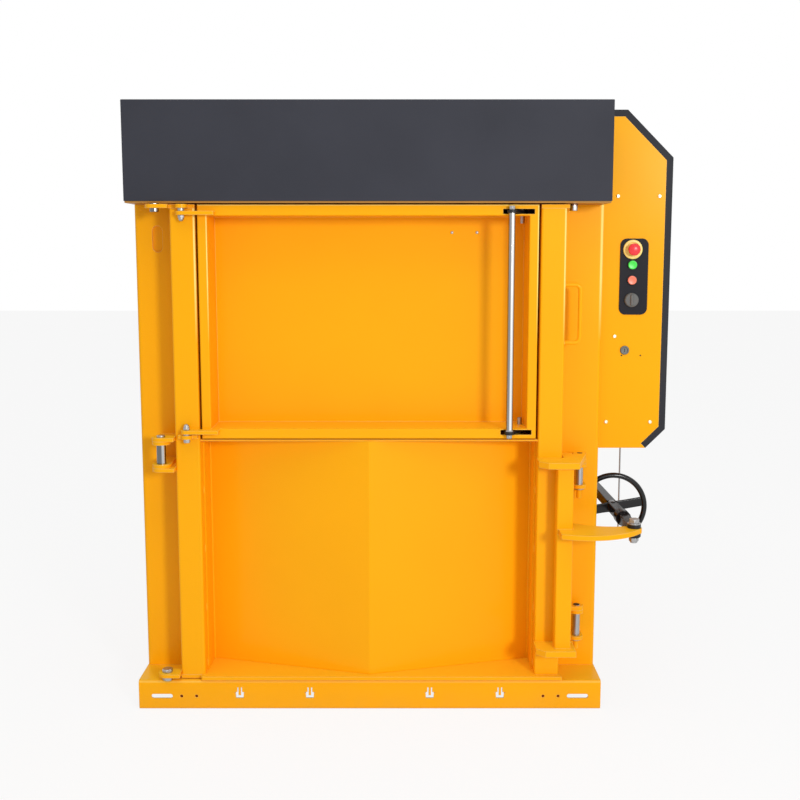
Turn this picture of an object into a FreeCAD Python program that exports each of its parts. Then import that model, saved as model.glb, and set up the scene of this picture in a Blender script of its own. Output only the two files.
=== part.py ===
"""Recycling baler: a low vertical press with a loading hatch above a bale door.

The frame's origin is the centre of the base's underside. +X is the operator's
right, +Y runs to the back and +Z is up. Sizes are in millimetres. A depth is
measured back from the front face of the base. Each piece is one STEP file.
"""
import FreeCAD
import Part
import math
import os

from FreeCAD import Vector

# Base tray
BASE_WIDTH = 1540.0
BASE_EDGE = BASE_WIDTH / 2
BASE_DEPTH = 1040.0
BASE_HEIGHT = 100.0
BASE_SHEET = 6.0
BASE_FOOT = 45.0
FRONT_DECK = 185.0
REAR_DECK = 130.0
BEARER_WIDTH = 60.0
BEARER_PITCH = 317.0
BEARER_WALL = 5.0
FLOOR_RISE = 30.0
FLOOR_SHEET = 5.0
BEND_RADIUS = 4.0

# Strap slots in the base, and the grooves that line up with them
STRAP_INNER_PLACE = 200.0
STRAP_OUTER_PLACE = 434.0
STRAP_MOUTH_BOTTOM = 39.0
STRAP_MOUTH_WIDTH = 27.0
STRAP_EAR_WIDTH = 38.0
STRAP_EAR_HEIGHT = 20.0
STRAP_PRONG_HEIGHT = 17.0
STRAP_PRONG_WIDTH = 4.0
STRAP_TONGUE_WIDTH = 8.0
STRAP_TONGUE_DROP = 10.0
STRAP_GROOVE_WIDTH = 30.0
STRAP_GROOVE_DEPTH = 20.0
END_SLOT_INSET = 77.0
END_SLOT_PLACE = BASE_EDGE - END_SLOT_INSET
END_SLOT_LENGTH = 71.0
END_SLOT_HEIGHT = 15.0
END_SLOT_CENTRE = 46.0
TIE_HOLE_INSET = 142.0
TIE_HOLE_PITCH = 50.0
TIE_HOLE_PLACES = (BASE_EDGE - TIE_HOLE_INSET - TIE_HOLE_PITCH, BASE_EDGE - TIE_HOLE_INSET)
TIE_HOLE_RADIUS = 5.0
TIE_PLATE_SHEET = 4.0
TIE_PLATE_MARGIN = 10.0

# Chamber walls and their ribs
CHAMBER_WIDTH = 1120.0
CHAMBER_SETBACK = 140.0
CHAMBER_BACK = BASE_DEPTH - CHAMBER_SETBACK
WALL_SHEET = 6.0
WALL_TOP = 1900.0
RIB_HEIGHTS = (300.0, 800.0, 1120.0, 1520.0)
RIB_TALL = 80.0
RIB_REACH = 115.0
RIB_SHEET = 5.0
RIB_START = 250.0

# Front posts, header and top beams
POST_DEPTH = 145.0
POST_RETURN = 85.0
POST_LIP = 50.0
POST_SHEET = 8.0
HEADER_BOTTOM = 1668.0
HEADER_SHEET = 6.0
HEADER_FRONT = 1.0
HEADER_INSET = 5.0
POST_SLOT_INSET = 74.0
POST_SLOT_PLACE = BASE_EDGE - POST_SLOT_INSET
POST_SLOT_CENTRE = 1557.0
POST_SLOT_WIDTH = 33.0
POST_SLOT_HEIGHT = 86.0
POST_SLOT_PLATE = 5.0
POST_SLOT_MARGIN = 12.0
TOP_BEAM_BOTTOM = 1790.0
TOP_BEAM_HEIGHT = 140.0
TOP_BEAM_DEPTH = 60.0
TOP_BEAM_WALL = 6.0

# Top cover
MACHINE_HEIGHT = 1985.0
COVER_INSET = 2.0
COVER_WIDTH = BASE_WIDTH - 2 * COVER_INSET
COVER_FRONT = -2.0
COVER_REAR_INSET = 6.0
COVER_BACK = BASE_DEPTH - COVER_REAR_INSET
COVER_SHEET = 3.0

# Main door
STILE_OVERLAP = 11.0
STILE_INNER = CHAMBER_WIDTH / 2 - STILE_OVERLAP
STILE_WIDTH = 80.0
STILE_OUTER = STILE_INNER + STILE_WIDTH
STILE_FRONT = 15.0
STILE_BACK = 135.0
STILE_WALL = 5.0
STILE_CORNER = 7.0
DOOR_PLATE = 12.0
DOOR_LIFT = 3.0
DOOR_BOTTOM = BASE_HEIGHT + DOOR_LIFT
DOOR_TOP_GAP = 4.0
DOOR_TOP = HEADER_BOTTOM - DOOR_TOP_GAP
DOOR_TOP_OVERHANG = 9.0
DOOR_BOTTOM_OVERHANG = 9.0
DOOR_LIP_LEFT = -561.0
DOOR_LIP_FRONT = -6.0
DOOR_LIP_CORNER = 8.0
PANEL_SHEET = 5.0
PANEL_CORNER_DEPTH = 180.0
PANEL_RETURN_DEPTH = 65.0
PANEL_RIDGE = 22.0
PANEL_TOP = 905.0
DOOR_PIN_STEP = 45.0
DOOR_PIN_X = -STILE_OUTER - DOOR_PIN_STEP
DOOR_PIN_DEPTH = 10.0
DOOR_PIN_RADIUS = 15.0
DOOR_EYE_RADIUS = 29.0
DOOR_LEAF_HEIGHTS = (809.0, 909.0)
PIN_END_RADIUS = 14.0
PIN_NUT_RADIUS = 18.0
HANDLE_BAR_RADIUS = 7.0
HANDLE_BOTTOM = 1216.0
HANDLE_TOP = 1417.0
HANDLE_REACH = 62.0
HANDLE_DEPTH = 60.0
HANDLE_BEND = 18.0
ROLLER_STEP = 27.0
ROLLER_X = STILE_OUTER + ROLLER_STEP
ROLLER_DEPTH = 60.0
ROLLER_RADIUS = 13.0
ROLLER_LENGTH = 23.0

# Loading hatch
HATCH_SIDE_GAP = 7.5
HATCH_HALF_WIDTH = STILE_INNER - HATCH_SIDE_GAP
HATCH_GAP = 4.0
HATCH_BOTTOM = PANEL_TOP + PANEL_SHEET + HATCH_GAP
HATCH_TOP = DOOR_TOP
HATCH_SHEET = 4.0
HATCH_FOLD = 4.5
HATCH_SIDE_FLANGE = 30.5
HATCH_TOP_FLANGE = 35.0
HATCH_BOTTOM_FLANGE = 33.0
HATCH_PAN_DEPTH = 155.0
HATCH_RAIL_RETURN = 110.0
HATCH_RAIL_INSET = 8.0
HATCH_SIDE_RETURN = 40.0
HATCH_PIN_STEP = 38.0
HATCH_PIN_X = -STILE_INNER - HATCH_PIN_STEP
HATCH_PIN_DEPTH = -6.0
HATCH_PIN_RADIUS = 8.0
HATCH_EYE_RADIUS = 18.0
STRAP_PLATE = 12.0
STRAP_REACH = 104.0
STRAP_END_X = HATCH_PIN_X + STRAP_REACH
HATCH_NUT_RADIUS = 11.0
HATCH_NUT_HEIGHT = 20.0
HATCH_TOP_STRAP_DROP = 33.5
HATCH_TOP_STRAP = HATCH_TOP - HATCH_TOP_STRAP_DROP
HATCH_LOW_STRAP_RISE = 20.0
HATCH_LOW_STRAP = HATCH_BOTTOM + HATCH_LOW_STRAP_RISE
HATCH_SPACER = 5.0
STILE_HINGE_PLATE = HATCH_LOW_STRAP - HATCH_SPACER - DOOR_PLATE
STILE_HINGE_REACH = 28.0
STILE_HINGE_LEFT = HATCH_PIN_X - STILE_HINGE_REACH
STILE_HINGE_MARGIN = 4.0
STILE_HINGE_RIGHT = -STILE_INNER - STILE_HINGE_MARGIN

# Pull rod and its cranks
LATCH_SLOT_INSET = 14.5
LATCH_SLOT_LENGTH = 100.0
LATCH_SLOT_RIGHT = HATCH_HALF_WIDTH - LATCH_SLOT_INSET
LATCH_SLOT_LEFT = LATCH_SLOT_RIGHT - LATCH_SLOT_LENGTH
LATCH_SLOT_HEIGHT = 16.0
PULL_ROD_INSET = 26.5
PULL_ROD_X = LATCH_SLOT_LEFT + PULL_ROD_INSET
PULL_ROD_DEPTH = 0.0
PULL_ROD_RADIUS = 11.0
PULL_ROD_FOOT_HEIGHT = 5.0
PULL_ROD_FOOT_RIM = 2.0
CRANK_THROW = 44.5
LATCH_PIVOT_X = PULL_ROD_X + CRANK_THROW
LATCH_PIVOT_DEPTH = 112.0
LATCH_PIVOT_RADIUS = 8.0
LATCH_PIVOT_LENGTH = 30.0
CRANK_SHEET = 10.0
CRANK_ROD_END = 15.0
CRANK_PIVOT_END = 18.0
CRANK_TONGUE = 40.0
CRANK_TONGUE_END = 8.0
ROD_NUT_RADIUS = 10.0
ROD_NUT_HEIGHT = 12.0

# Door lock on the right
LOCK_PIN_STEP = 70.0
LOCK_PIN_X = STILE_OUTER + LOCK_PIN_STEP
LOCK_PIN_DEPTH = 100.0
LOCK_PIN_RADIUS = 12.0
LOCK_EYE_RADIUS = 23.0
LOCK_TUBE_STEP = 56.0
LOCK_TUBE_LEFT = STILE_INNER + LOCK_TUBE_STEP
LOCK_TUBE_WIDTH = 53.0
LOCK_TUBE_FRONT = -55.0
LOCK_TUBE_DEPTH = 50.0
LOCK_TUBE_WALL = 5.0
LOCK_TUBE_CORNER = 6.0
LOCK_TOP = 832.0
LOCK_BOTTOM = 231.0
LOCK_PLATE = 20.0
LOCK_PLATE_OVERLAP = 4.0
LOCK_PLATE_WIDTH = 127.0
LOCK_PLATE_LEFT = STILE_INNER - LOCK_PLATE_OVERLAP
LOCK_PLATE_RIGHT = LOCK_PLATE_LEFT + LOCK_PLATE_WIDTH
LOCK_PLATE_FRONT = -83.0
LOCK_PLATE_CHAMFER = 28.0
LOCK_LUG = 14.0
EAR_SHEET = 12.0
LOCK_HINGE_HEIGHTS = ((211.0, 329.0), (734.0, 832.0))
LOCK_LUG_GAP = 5.0
LOCK_LUG_REACH = 15.0
LOCK_PIN_PROUD = 12.0
LOCK_PIN_WASHER = 17.0
LOCK_PIN_WASHER_SHEET = 5.0
LOCK_PIN_TAIL_RADIUS = 8.0
LOCK_PIN_TAIL = 35.0
ARM_TOP = 630.0
ARM_SHEET = 16.0
ARM_INSET = 7.0
ARM_LEFT = LOCK_TUBE_LEFT + ARM_INSET
ARM_FRONT = -118.0
ARM_BULGE_INSET = 55.0
ARM_BULGE_X = BASE_EDGE - ARM_BULGE_INSET
ARM_BULGE_DEPTH = -138.0
ARM_TIP_RADIUS = 25.0
ARM_REAR_REACH = 6.0
ARM_REAR_X = BASE_EDGE + ARM_REAR_REACH
ARM_REAR_DEPTH = -16.0
ARM_HEEL_STEP = 10.0
ARM_HEEL_X = LOCK_TUBE_LEFT + LOCK_TUBE_WIDTH + ARM_HEEL_STEP
ARM_HEEL_DEPTH = 31.0

# Strut with the handwheel, from the lock's arm back to its cradle
STRUT_PIN_REACH = 89.0
STRUT_PIN_X = BASE_EDGE + STRUT_PIN_REACH
STRUT_PIN_DEPTH = -30.0
STRUT_PIN_RADIUS = 10.0
STRUT_TILT = 1.0
CLEVIS_WIDTH = 44.0
CLEVIS_CHEEK = 12.0
CLEVIS_THROAT = 32.0
CLEVIS_LENGTH = 40.0
SLEEVE_SIZE = 34.0
SLEEVE_WALL = 4.0
SLEEVE_END = 640.0
COLLAR_START = 125.0
COLLAR_LENGTH = 42.0
HUB_START = 288.0
HUB_LENGTH = 36.0
HUB_RADIUS = 26.0
WHEEL_RADIUS = 121.5
WHEEL_RIM_RADIUS = 9.0
WHEEL_SPOKE_WIDTH = 30.0
WHEEL_SPOKE_SHEET = 8.0
WHEEL_SPOKE_TURN = 10.0
SCREW_RADIUS = 10.0
SCREW_END_LENGTH = 180.0
STRUT_BOLT_HEAD = 18.0
STRUT_BOLT_HEAD_HEIGHT = 14.0
WASHER_RADIUS = 22.0
WASHER_SHEET = 3.0
NUT_HEIGHT = 16.0
CRADLE_DEPTH = 600.0
CRADLE_SHEET = 12.0
CRADLE_JAW_SETBACK = 13.0
CRADLE_REACH = STRUT_PIN_X - CRADLE_JAW_SETBACK
CRADLE_BOTTOM = 550.0
CRADLE_TOP = 690.0
CRADLE_JAW_LENGTH = 31.0
CRADLE_SLOT_LEFT = CRADLE_REACH - CRADLE_JAW_LENGTH
CRADLE_SLOT_GAP = 4.0
INTERLOCK_STEP = 76.0
INTERLOCK_X = STRUT_PIN_X + INTERLOCK_STEP
INTERLOCK_DEPTH = 606.0
INTERLOCK_RADIUS = 3.0
INTERLOCK_BOTTOM = 440.0

# Hood for the power pack and the controls
HOOD_GAP = 2.0
HOOD_WIDTH = 232.0
HOOD_LEFT = BASE_EDGE + HOOD_GAP
HOOD_RIGHT = HOOD_LEFT + HOOD_WIDTH
HOOD_FRONT = 200.0
HOOD_BACK = 800.0
HOOD_BOTTOM = 851.0
HOOD_TOP_DROP = 7.0
HOOD_TOP = MACHINE_HEIGHT - HOOD_TOP_DROP
HOOD_TOP_CHAMFER = 154.0
HOOD_LOW_CHAMFER = 65.0
HOOD_BAND = 22.0
HOOD_SHEET = 3.0
HOOD_FOLD = 0.1
HOOD_BRACKET = 60.0
HOOD_BRACKET_WALL = 4.0
HOOD_BRACKET_DEPTHS = (380.0, 640.0)
HOOD_SCREW_RADIUS = 6.5
HOOD_SCREW_HEIGHT = 4.0
HOOD_SCREW_INSETS = ((52.0, 1698.0), (190.0, 1698.0), (52.0, 1233.0), (30.0, 941.0), (180.0, 941.0))
TANK_WIDTH = 140.0
TANK_DEPTH = 340.0
TANK_HEIGHT = 230.0
TANK_SETBACK = 120.0
MOTOR_RADIUS = 62.0
MOTOR_HEIGHT = 250.0
MOTOR_FLANGE = 66.0
MOTOR_FOOT = 14.0
MOTOR_NECK = 40.0
MOTOR_TAPER = 8.0
MOTOR_COWL = 60.0
MOTOR_COWL_STEP = 3.0
MOTOR_CROWN = 12.0
VENT_LENGTH = 80.0
VENT_HEIGHT = 6.0
VENT_PITCH = 20.0
VENT_ROWS = 24
VENT_DROP = 663.0
VENT_BOTTOM = HOOD_TOP - VENT_DROP
VENT_DEPTHS = (240.0, 345.0)

# Controls on the hood
CONTROL_INSET = 64.0
CONTROL_LEFT = HOOD_LEFT + CONTROL_INSET
CONTROL_WIDTH = 94.0
CONTROL_BOTTOM = 1306.0
CONTROL_HEIGHT = 253.0
CONTROL_CORNER = 22.0
CONTROL_SHEET = 3.0
CONTROL_STEP = 41.0
CONTROL_X = CONTROL_LEFT + CONTROL_STEP
STOP_HEIGHT = 1523.0
STOP_COLLAR_RADIUS = 32.0
STOP_COLLAR_SHEET = 6.0
STOP_COLLAR_CHAMFER = 3.0
STOP_STEM_RADIUS = 11.0
STOP_CAP_RADIUS = 20.0
STOP_CAP_HEIGHT = 16.0
STOP_CAP_CROWN = 1.0
STOP_CAP_SHOULDER = 5.0
STOP_CAP_BELLY = 10.0
STOP_CAP_LIP = 2.0
STOP_STANDOFF = 14.0
START_HEIGHT = 1472.0
RETURN_HEIGHT = 1421.0
BUTTON_RADIUS = 14.5
BUTTON_PROUD = 4.0
BEZEL_RADIUS = 17.0
BEZEL_SHEET = 4.0
SELECTOR_HEIGHT = 1355.0
SELECTOR_RADIUS = 24.0
SELECTOR_DEPTH = 10.0
SELECTOR_GRIP = 9.0
SELECTOR_GRIP_PROUD = 12.0
SELECTOR_STEM_RADIUS = 6.0
STEM_REACH = 12.0
LOCK_PLUG_INSET = 87.0
LOCK_PLUG_X = HOOD_LEFT + LOCK_PLUG_INSET
LOCK_PLUG_DROP = 120.0
LOCK_PLUG_HEIGHT = CONTROL_BOTTOM - LOCK_PLUG_DROP
LOCK_PLUG_RADIUS = 15.0
LOCK_PLUG_PROUD = 5.0
LOCK_PLUG_SHANK = 9.0
LOCK_CAM_LENGTH = 42.0
LOCK_CAM_WIDTH = 16.0
LOCK_CAM_SHEET = 3.0

# Press platen and its crossed cylinders
PLATEN_FRONT = 200.0
PLATEN_BACK = 890.0
PLATEN_GAP = 10.0
PLATEN_BOTTOM = 1676.0
PLATEN_SHEET = 34.0
PLATEN_SOLE = 6.0
PLATEN_RIB_HEIGHT = 30.0
PLATEN_RIB_WIDTH = 60.0
PLATEN_RIB_DEPTHS = (300.0, 550.0, 790.0)
CYLINDER_DEPTHS = (425.0, 675.0)
CYLINDER_INSET = 55.0
CYLINDER_FRAME_X = CHAMBER_WIDTH / 2 - CYLINDER_INSET
CYLINDER_FRAME_Z = 1905.0
CYLINDER_STEP = 75.0
CYLINDER_PLATEN_X = CYLINDER_FRAME_X - CYLINDER_STEP
CYLINDER_PLATEN_Z = 1785.0
CYLINDER_RADIUS = 45.0
CYLINDER_BORE = 36.0
CYLINDER_START = 50.0
CYLINDER_LENGTH = 540.0
CYLINDER_CAP = 30.0
PISTON_LENGTH = 40.0
CYLINDER_ROD_RADIUS = 22.0
CYLINDER_EYE_RADIUS = 30.0
CYLINDER_EYE_WIDTH = 44.0
CYLINDER_PIN_RADIUS = 14.0
LUG_SHEET = 12.0
LUG_LENGTH = 150.0
LUG_RISE = 32.0

# Clearances
SEAT_GAP = 0.3
RUNNING_GAP = 0.06
CURVED_GAP = 0.4


def depth(distance):
    """Y of a place that lies this far behind the front face of the base."""
    return distance - BASE_DEPTH / 2


def place(plane, u, v, w):
    """Point from two coordinates in a plane, xy, yz or xz, and one across it."""
    if plane == "xy":
        return Vector(u, v, w)
    if plane == "yz":
        return Vector(w, u, v)
    return Vector(u, w, v)


def block(x, y, z):
    """Box between two limits on each axis."""
    return Part.makeBox(x[1] - x[0], y[1] - y[0], z[1] - z[0], Vector(x[0], y[0], z[0]))


def bar(start, end, radius):
    """Round bar from one point to another."""
    run = end.sub(start)
    return Part.makeCylinder(radius, run.Length, start, run)


def joined(pieces):
    """One solid from pieces that touch or overlap."""
    return pieces[0].fuse(pieces[1:]).removeSplitter()


def mirrored(shape):
    """The same piece on the other side of the machine's middle plane."""
    return shape.mirror(Vector(0, 0, 0), Vector(1, 0, 0))


def group(pieces):
    """Separate solids that share one file."""
    return Part.makeCompound(pieces)


def profile(plane, corners, start, end):
    """Prism with the outline of corners (u, v, radius), between two places across the plane."""
    count = len(corners)
    arrivals = []
    departures = []
    middles = []
    for index in range(count):
        u, v, radius = corners[index]
        here = Vector(u, v, 0)
        before = Vector(corners[index - 1][0], corners[index - 1][1], 0).sub(here).normalize()
        after_corner = corners[(index + 1) % count]
        after = Vector(after_corner[0], after_corner[1], 0).sub(here).normalize()
        half = before.getAngle(after) / 2
        if radius > 0 and half < math.radians(89.9):
            run = radius / math.tan(half)
            inward = before.add(after).normalize()
            centre = here.add(inward * (radius / math.sin(half)))
            arrivals.append(here.add(before * run))
            departures.append(here.add(after * run))
            middles.append(centre.sub(inward * radius))
        else:
            arrivals.append(here)
            departures.append(here)
            middles.append(None)
    edges = []
    for index in range(count):
        if middles[index] is not None:
            stops = (arrivals[index], middles[index], departures[index])
            edges.append(Part.Arc(*[place(plane, p.x, p.y, start) for p in stops]).toShape())
        run_start = departures[index]
        run_end = arrivals[(index + 1) % count]
        if run_start.distanceToPoint(run_end) > 1e-6:
            ends = [place(plane, p.x, p.y, start) for p in (run_start, run_end)]
            edges.append(Part.LineSegment(*ends).toShape())
    face = Part.Face(Part.Wire(edges))
    return face.extrude(place(plane, 0, 0, end - start))


def offset_line(line, distance):
    """Corners of an open line of (u, v) moved to its left, mitred at each corner."""
    points = [Vector(u, v, 0) for u, v in line]
    runs = [b.sub(a).normalize() for a, b in zip(points, points[1:])]
    normals = [Vector(-run.y, run.x, 0) for run in runs]
    moved = []
    for index, point in enumerate(points):
        first = normals[max(index - 1, 0)]
        last = normals[min(index, len(normals) - 1)]
        mitre = first.add(last)
        corner = point.add(mitre * (distance / mitre.dot(first)))
        moved.append((corner.x, corner.y))
    return moved


def folded(plane, line, sheet, start, end, radius=BEND_RADIUS):
    """Folded sheet: an open line of (u, v) with its thickness on the left, bent at each corner."""
    moved = offset_line(line, sheet)
    outer = []
    inner = []
    for index, point in enumerate(line):
        near = 0.0
        far = 0.0
        if 0 < index < len(line) - 1:
            before = Vector(*point, 0).sub(Vector(*line[index - 1], 0))
            after = Vector(*line[index + 1], 0).sub(Vector(*point, 0))
            turns_left = before.cross(after).z > 0
            near = radius + sheet if turns_left else radius
            far = radius if turns_left else radius + sheet
        outer.append((point[0], point[1], near))
        inner.append((moved[index][0], moved[index][1], far))
    return profile(plane, outer + inner[::-1], start, end)


def box_tube(plane, u, v, wall, corner, start, end):
    """Hollow rectangular section with rounded corners."""
    outer = [(u[0], v[0], corner), (u[1], v[0], corner), (u[1], v[1], corner), (u[0], v[1], corner)]
    inner = [
        (u[0] + wall, v[0] + wall, 0), (u[1] - wall, v[0] + wall, 0),
        (u[1] - wall, v[1] - wall, 0), (u[0] + wall, v[1] - wall, 0),
    ]
    return profile(plane, outer, start, end).cut(profile(plane, inner, start, end))


def tapered_link(first, first_radius, last, last_radius, bottom, top):
    """Flat link: two round ends in plan, joined by the lines that touch both."""
    a = Vector(first[0], first[1], 0)
    b = Vector(last[0], last[1], 0)
    run = b.sub(a)
    along = math.atan2(run.y, run.x)
    lean = math.acos((first_radius - last_radius) / run.Length)

    def rim(centre, radius, angle):
        return Vector(centre.x + radius * math.cos(angle), centre.y + radius * math.sin(angle), bottom)

    left = along + lean
    right = along - lean
    edges = [
        Part.Arc(rim(a, first_radius, left), rim(a, first_radius, along + math.pi),
                 rim(a, first_radius, right)).toShape(),
        Part.LineSegment(rim(a, first_radius, right), rim(b, last_radius, right)).toShape(),
        Part.Arc(rim(b, last_radius, right), rim(b, last_radius, along),
                 rim(b, last_radius, left)).toShape(),
        Part.LineSegment(rim(b, last_radius, left), rim(a, first_radius, left)).toShape(),
    ]
    return Part.Face(Part.Wire(edges)).extrude(Vector(0, 0, top - bottom))


def across(x, z, front, back, radius):
    """Round bar along the depth of the machine, given by its two depths."""
    return bar(Vector(x, depth(front), z), Vector(x, depth(back), z), radius)


def upright(x, distance, bottom, top, radius):
    """Round bar standing upright at one depth."""
    return bar(Vector(x, depth(distance), bottom), Vector(x, depth(distance), top), radius)


def hex_nut(x, distance, bottom, top, radius):
    """Six-sided nut or bolt head standing upright."""
    corners = []
    for step in range(6):
        angle = math.radians(60 * step)
        corners.append((x + radius * math.cos(angle), depth(distance) + radius * math.sin(angle), 0))
    return profile("xy", corners, bottom, top)


def domed_nut(x, distance, bottom, height, radius):
    """Acorn nut: a six-sided collar with a dome; a negative height hangs it downwards."""
    collar_height = height * 0.45
    low, high = sorted((bottom, bottom + collar_height))
    collar = hex_nut(x, distance, low, high, radius)
    centre = Vector(x, depth(distance), bottom + collar_height)
    dome_radius = abs(height - collar_height)
    dome = Part.makeSphere(dome_radius, centre)
    side = 1 if height > 0 else -1
    spread = 2 * radius
    keep_low, keep_high = sorted((centre.z, centre.z + side * spread))
    keep = block((x - spread, x + spread), (centre.y - spread, centre.y + spread), (keep_low, keep_high))
    return joined([collar, dome.common(keep)])


def strap_places():
    """Middle of each strap channel, from left to right."""
    return (-STRAP_OUTER_PLACE, -STRAP_INNER_PLACE, STRAP_INNER_PLACE, STRAP_OUTER_PLACE)


def groove_line(x, open_level, bottom_level):
    """Four corners of one strap groove, from left to right."""
    half = STRAP_GROOVE_WIDTH / 2
    return [(x - half, open_level), (x - half, bottom_level),
            (x + half, bottom_level), (x + half, open_level)]


def strap_slot(x, front, back):
    """Cutter for a strap slot: a flared mouth with ears, two prongs above and a tongue between."""
    ear = STRAP_MOUTH_BOTTOM + STRAP_EAR_HEIGHT
    half = [
        (STRAP_MOUTH_WIDTH / 2 - 1, STRAP_MOUTH_BOTTOM),
        (STRAP_MOUTH_WIDTH / 2, ear - 2),
        (STRAP_EAR_WIDTH / 2, ear),
        (STRAP_TONGUE_WIDTH / 2 + STRAP_PRONG_WIDTH, ear + 1.5),
        (STRAP_TONGUE_WIDTH / 2 + STRAP_PRONG_WIDTH, ear + STRAP_PRONG_HEIGHT),
        (STRAP_TONGUE_WIDTH / 2, ear + STRAP_PRONG_HEIGHT),
        (STRAP_TONGUE_WIDTH / 2, ear - STRAP_TONGUE_DROP),
    ]
    corners = [(x + u, v, 0) for u, v in half] + [(x - u, v, 0) for u, v in reversed(half)]
    return profile("xz", corners, depth(front), depth(back))


def obround(x, z, width, height, front, back):
    """Cutter for a slot with round ends, wide or tall."""
    radius = min(width, height) / 2
    round_off = radius * 0.999
    corners = [
        (x - width / 2, z - height / 2, round_off), (x + width / 2, z - height / 2, round_off),
        (x + width / 2, z + height / 2, round_off), (x - width / 2, z + height / 2, round_off),
    ]
    return profile("xz", corners, depth(front), depth(back))


def base_beam(deck):
    """Folded cross beam of the base, with its strap slots, lifting slots and tie holes."""
    half = BASE_WIDTH / 2
    line = [
        (depth(deck), BASE_HEIGHT), (depth(0), BASE_HEIGHT),
        (depth(0), 0), (depth(BASE_FOOT), 0),
    ]
    beam = folded("yz", line, BASE_SHEET, -half, half)
    cutters = [strap_slot(x, -1, BASE_SHEET + 1) for x in strap_places()]
    for side in (-1, 1):
        cutters.append(obround(side * END_SLOT_PLACE, END_SLOT_CENTRE, END_SLOT_LENGTH,
                               END_SLOT_HEIGHT, -1, BASE_SHEET + 1))
        for hole in TIE_HOLE_PLACES:
            cutters.append(across(side * hole, END_SLOT_CENTRE, -1, BASE_SHEET + 1, TIE_HOLE_RADIUS))
    near, far = TIE_HOLE_PLACES
    margin = TIE_HOLE_RADIUS + TIE_PLATE_MARGIN
    backing = block((near - margin, far + margin), (depth(BASE_SHEET), depth(BASE_SHEET + TIE_PLATE_SHEET)),
                    (END_SLOT_CENTRE - margin, END_SLOT_CENTRE + margin))
    return joined([beam.cut(cutters), backing, mirrored(backing)])


def make_base():
    """Base tray: cross beams, side beams, bearers and the grooved floor."""
    half = BASE_WIDTH / 2
    deck_bottom = BASE_HEIGHT - BASE_SHEET
    front_beam = base_beam(FRONT_DECK)
    rear_beam = base_beam(REAR_DECK).mirror(Vector(0, 0, 0), Vector(0, 1, 0))
    rear_edge = BASE_DEPTH - REAR_DECK
    side_line = [
        (half - BASE_FOOT, deck_bottom), (half, deck_bottom), (half, 0), (half - BASE_FOOT, 0),
    ]
    side = folded("xz", side_line[::-1], BASE_SHEET, depth(FRONT_DECK), depth(rear_edge))
    bearers = []
    for step in (-1, 0, 1):
        middle = step * BEARER_PITCH
        span = (middle - BEARER_WIDTH / 2, middle + BEARER_WIDTH / 2)
        bearers.append(box_tube("xz", span, (0, deck_bottom), BEARER_WALL, BEARER_WALL,
                                depth(BASE_FOOT), depth(BASE_DEPTH - BASE_FOOT)))
    deck = block((-half, half), (depth(FRONT_DECK), depth(rear_edge)), (deck_bottom, BASE_HEIGHT))
    inside = CHAMBER_WIDTH / 2 - SEAT_GAP
    floor_top = BASE_HEIGHT + FLOOR_RISE
    ridge_line = [(-inside, BASE_HEIGHT), (-inside, floor_top)]
    for x in strap_places():
        ridge_line += groove_line(x, floor_top, floor_top - STRAP_GROOVE_DEPTH)
    ridge_line += [(inside, floor_top), (inside, BASE_HEIGHT)]
    grooved = folded("xz", ridge_line[::-1], FLOOR_SHEET, depth(FRONT_DECK), depth(CHAMBER_BACK))
    return {
        "base_front_beam": front_beam,
        "base_rear_beam": rear_beam,
        "base_side_beams": group([side, mirrored(side)]),
        "base_bearers": group(bearers),
        "base_deck": deck,
        "chamber_floor": grooved,
    }


def make_chamber():
    """Side walls and back wall of the bale chamber, with their ribs."""
    inner = CHAMBER_WIDTH / 2
    outer = inner + WALL_SHEET
    start = depth(POST_DEPTH + POST_RETURN)
    back = depth(CHAMBER_BACK)
    right_wall = block((inner, outer), (start, back), (BASE_HEIGHT, WALL_TOP))
    back_wall = block((-outer, outer), (back, back + WALL_SHEET), (BASE_HEIGHT, WALL_TOP))
    half_groove = STRAP_GROOVE_WIDTH / 2
    notches = [block((x - half_groove, x + half_groove), (back - 1, back + WALL_SHEET + 1),
                     (BASE_HEIGHT - 1, BASE_HEIGHT + FLOOR_RISE)) for x in strap_places()]
    back_wall = back_wall.cut(notches)
    side_ribs = []
    back_ribs = []
    for bottom in RIB_HEIGHTS:
        top = bottom + RIB_TALL
        reach = outer + RIB_REACH
        line = [(outer, bottom), (reach, bottom), (reach, top), (outer, top)]
        rib = folded("xz", line, RIB_SHEET, depth(RIB_START), back)
        side_ribs += [rib, mirrored(rib)]
        rear = back + WALL_SHEET
        rear_line = [(rear, bottom), (rear + RIB_REACH, bottom), (rear + RIB_REACH, top), (rear, top)]
        back_ribs.append(folded("yz", rear_line, RIB_SHEET, -outer, outer))
    return {
        "left_side_wall": mirrored(right_wall),
        "right_side_wall": right_wall,
        "side_ribs": group(side_ribs),
        "back_wall": back_wall,
        "back_ribs": group(back_ribs),
    }


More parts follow.
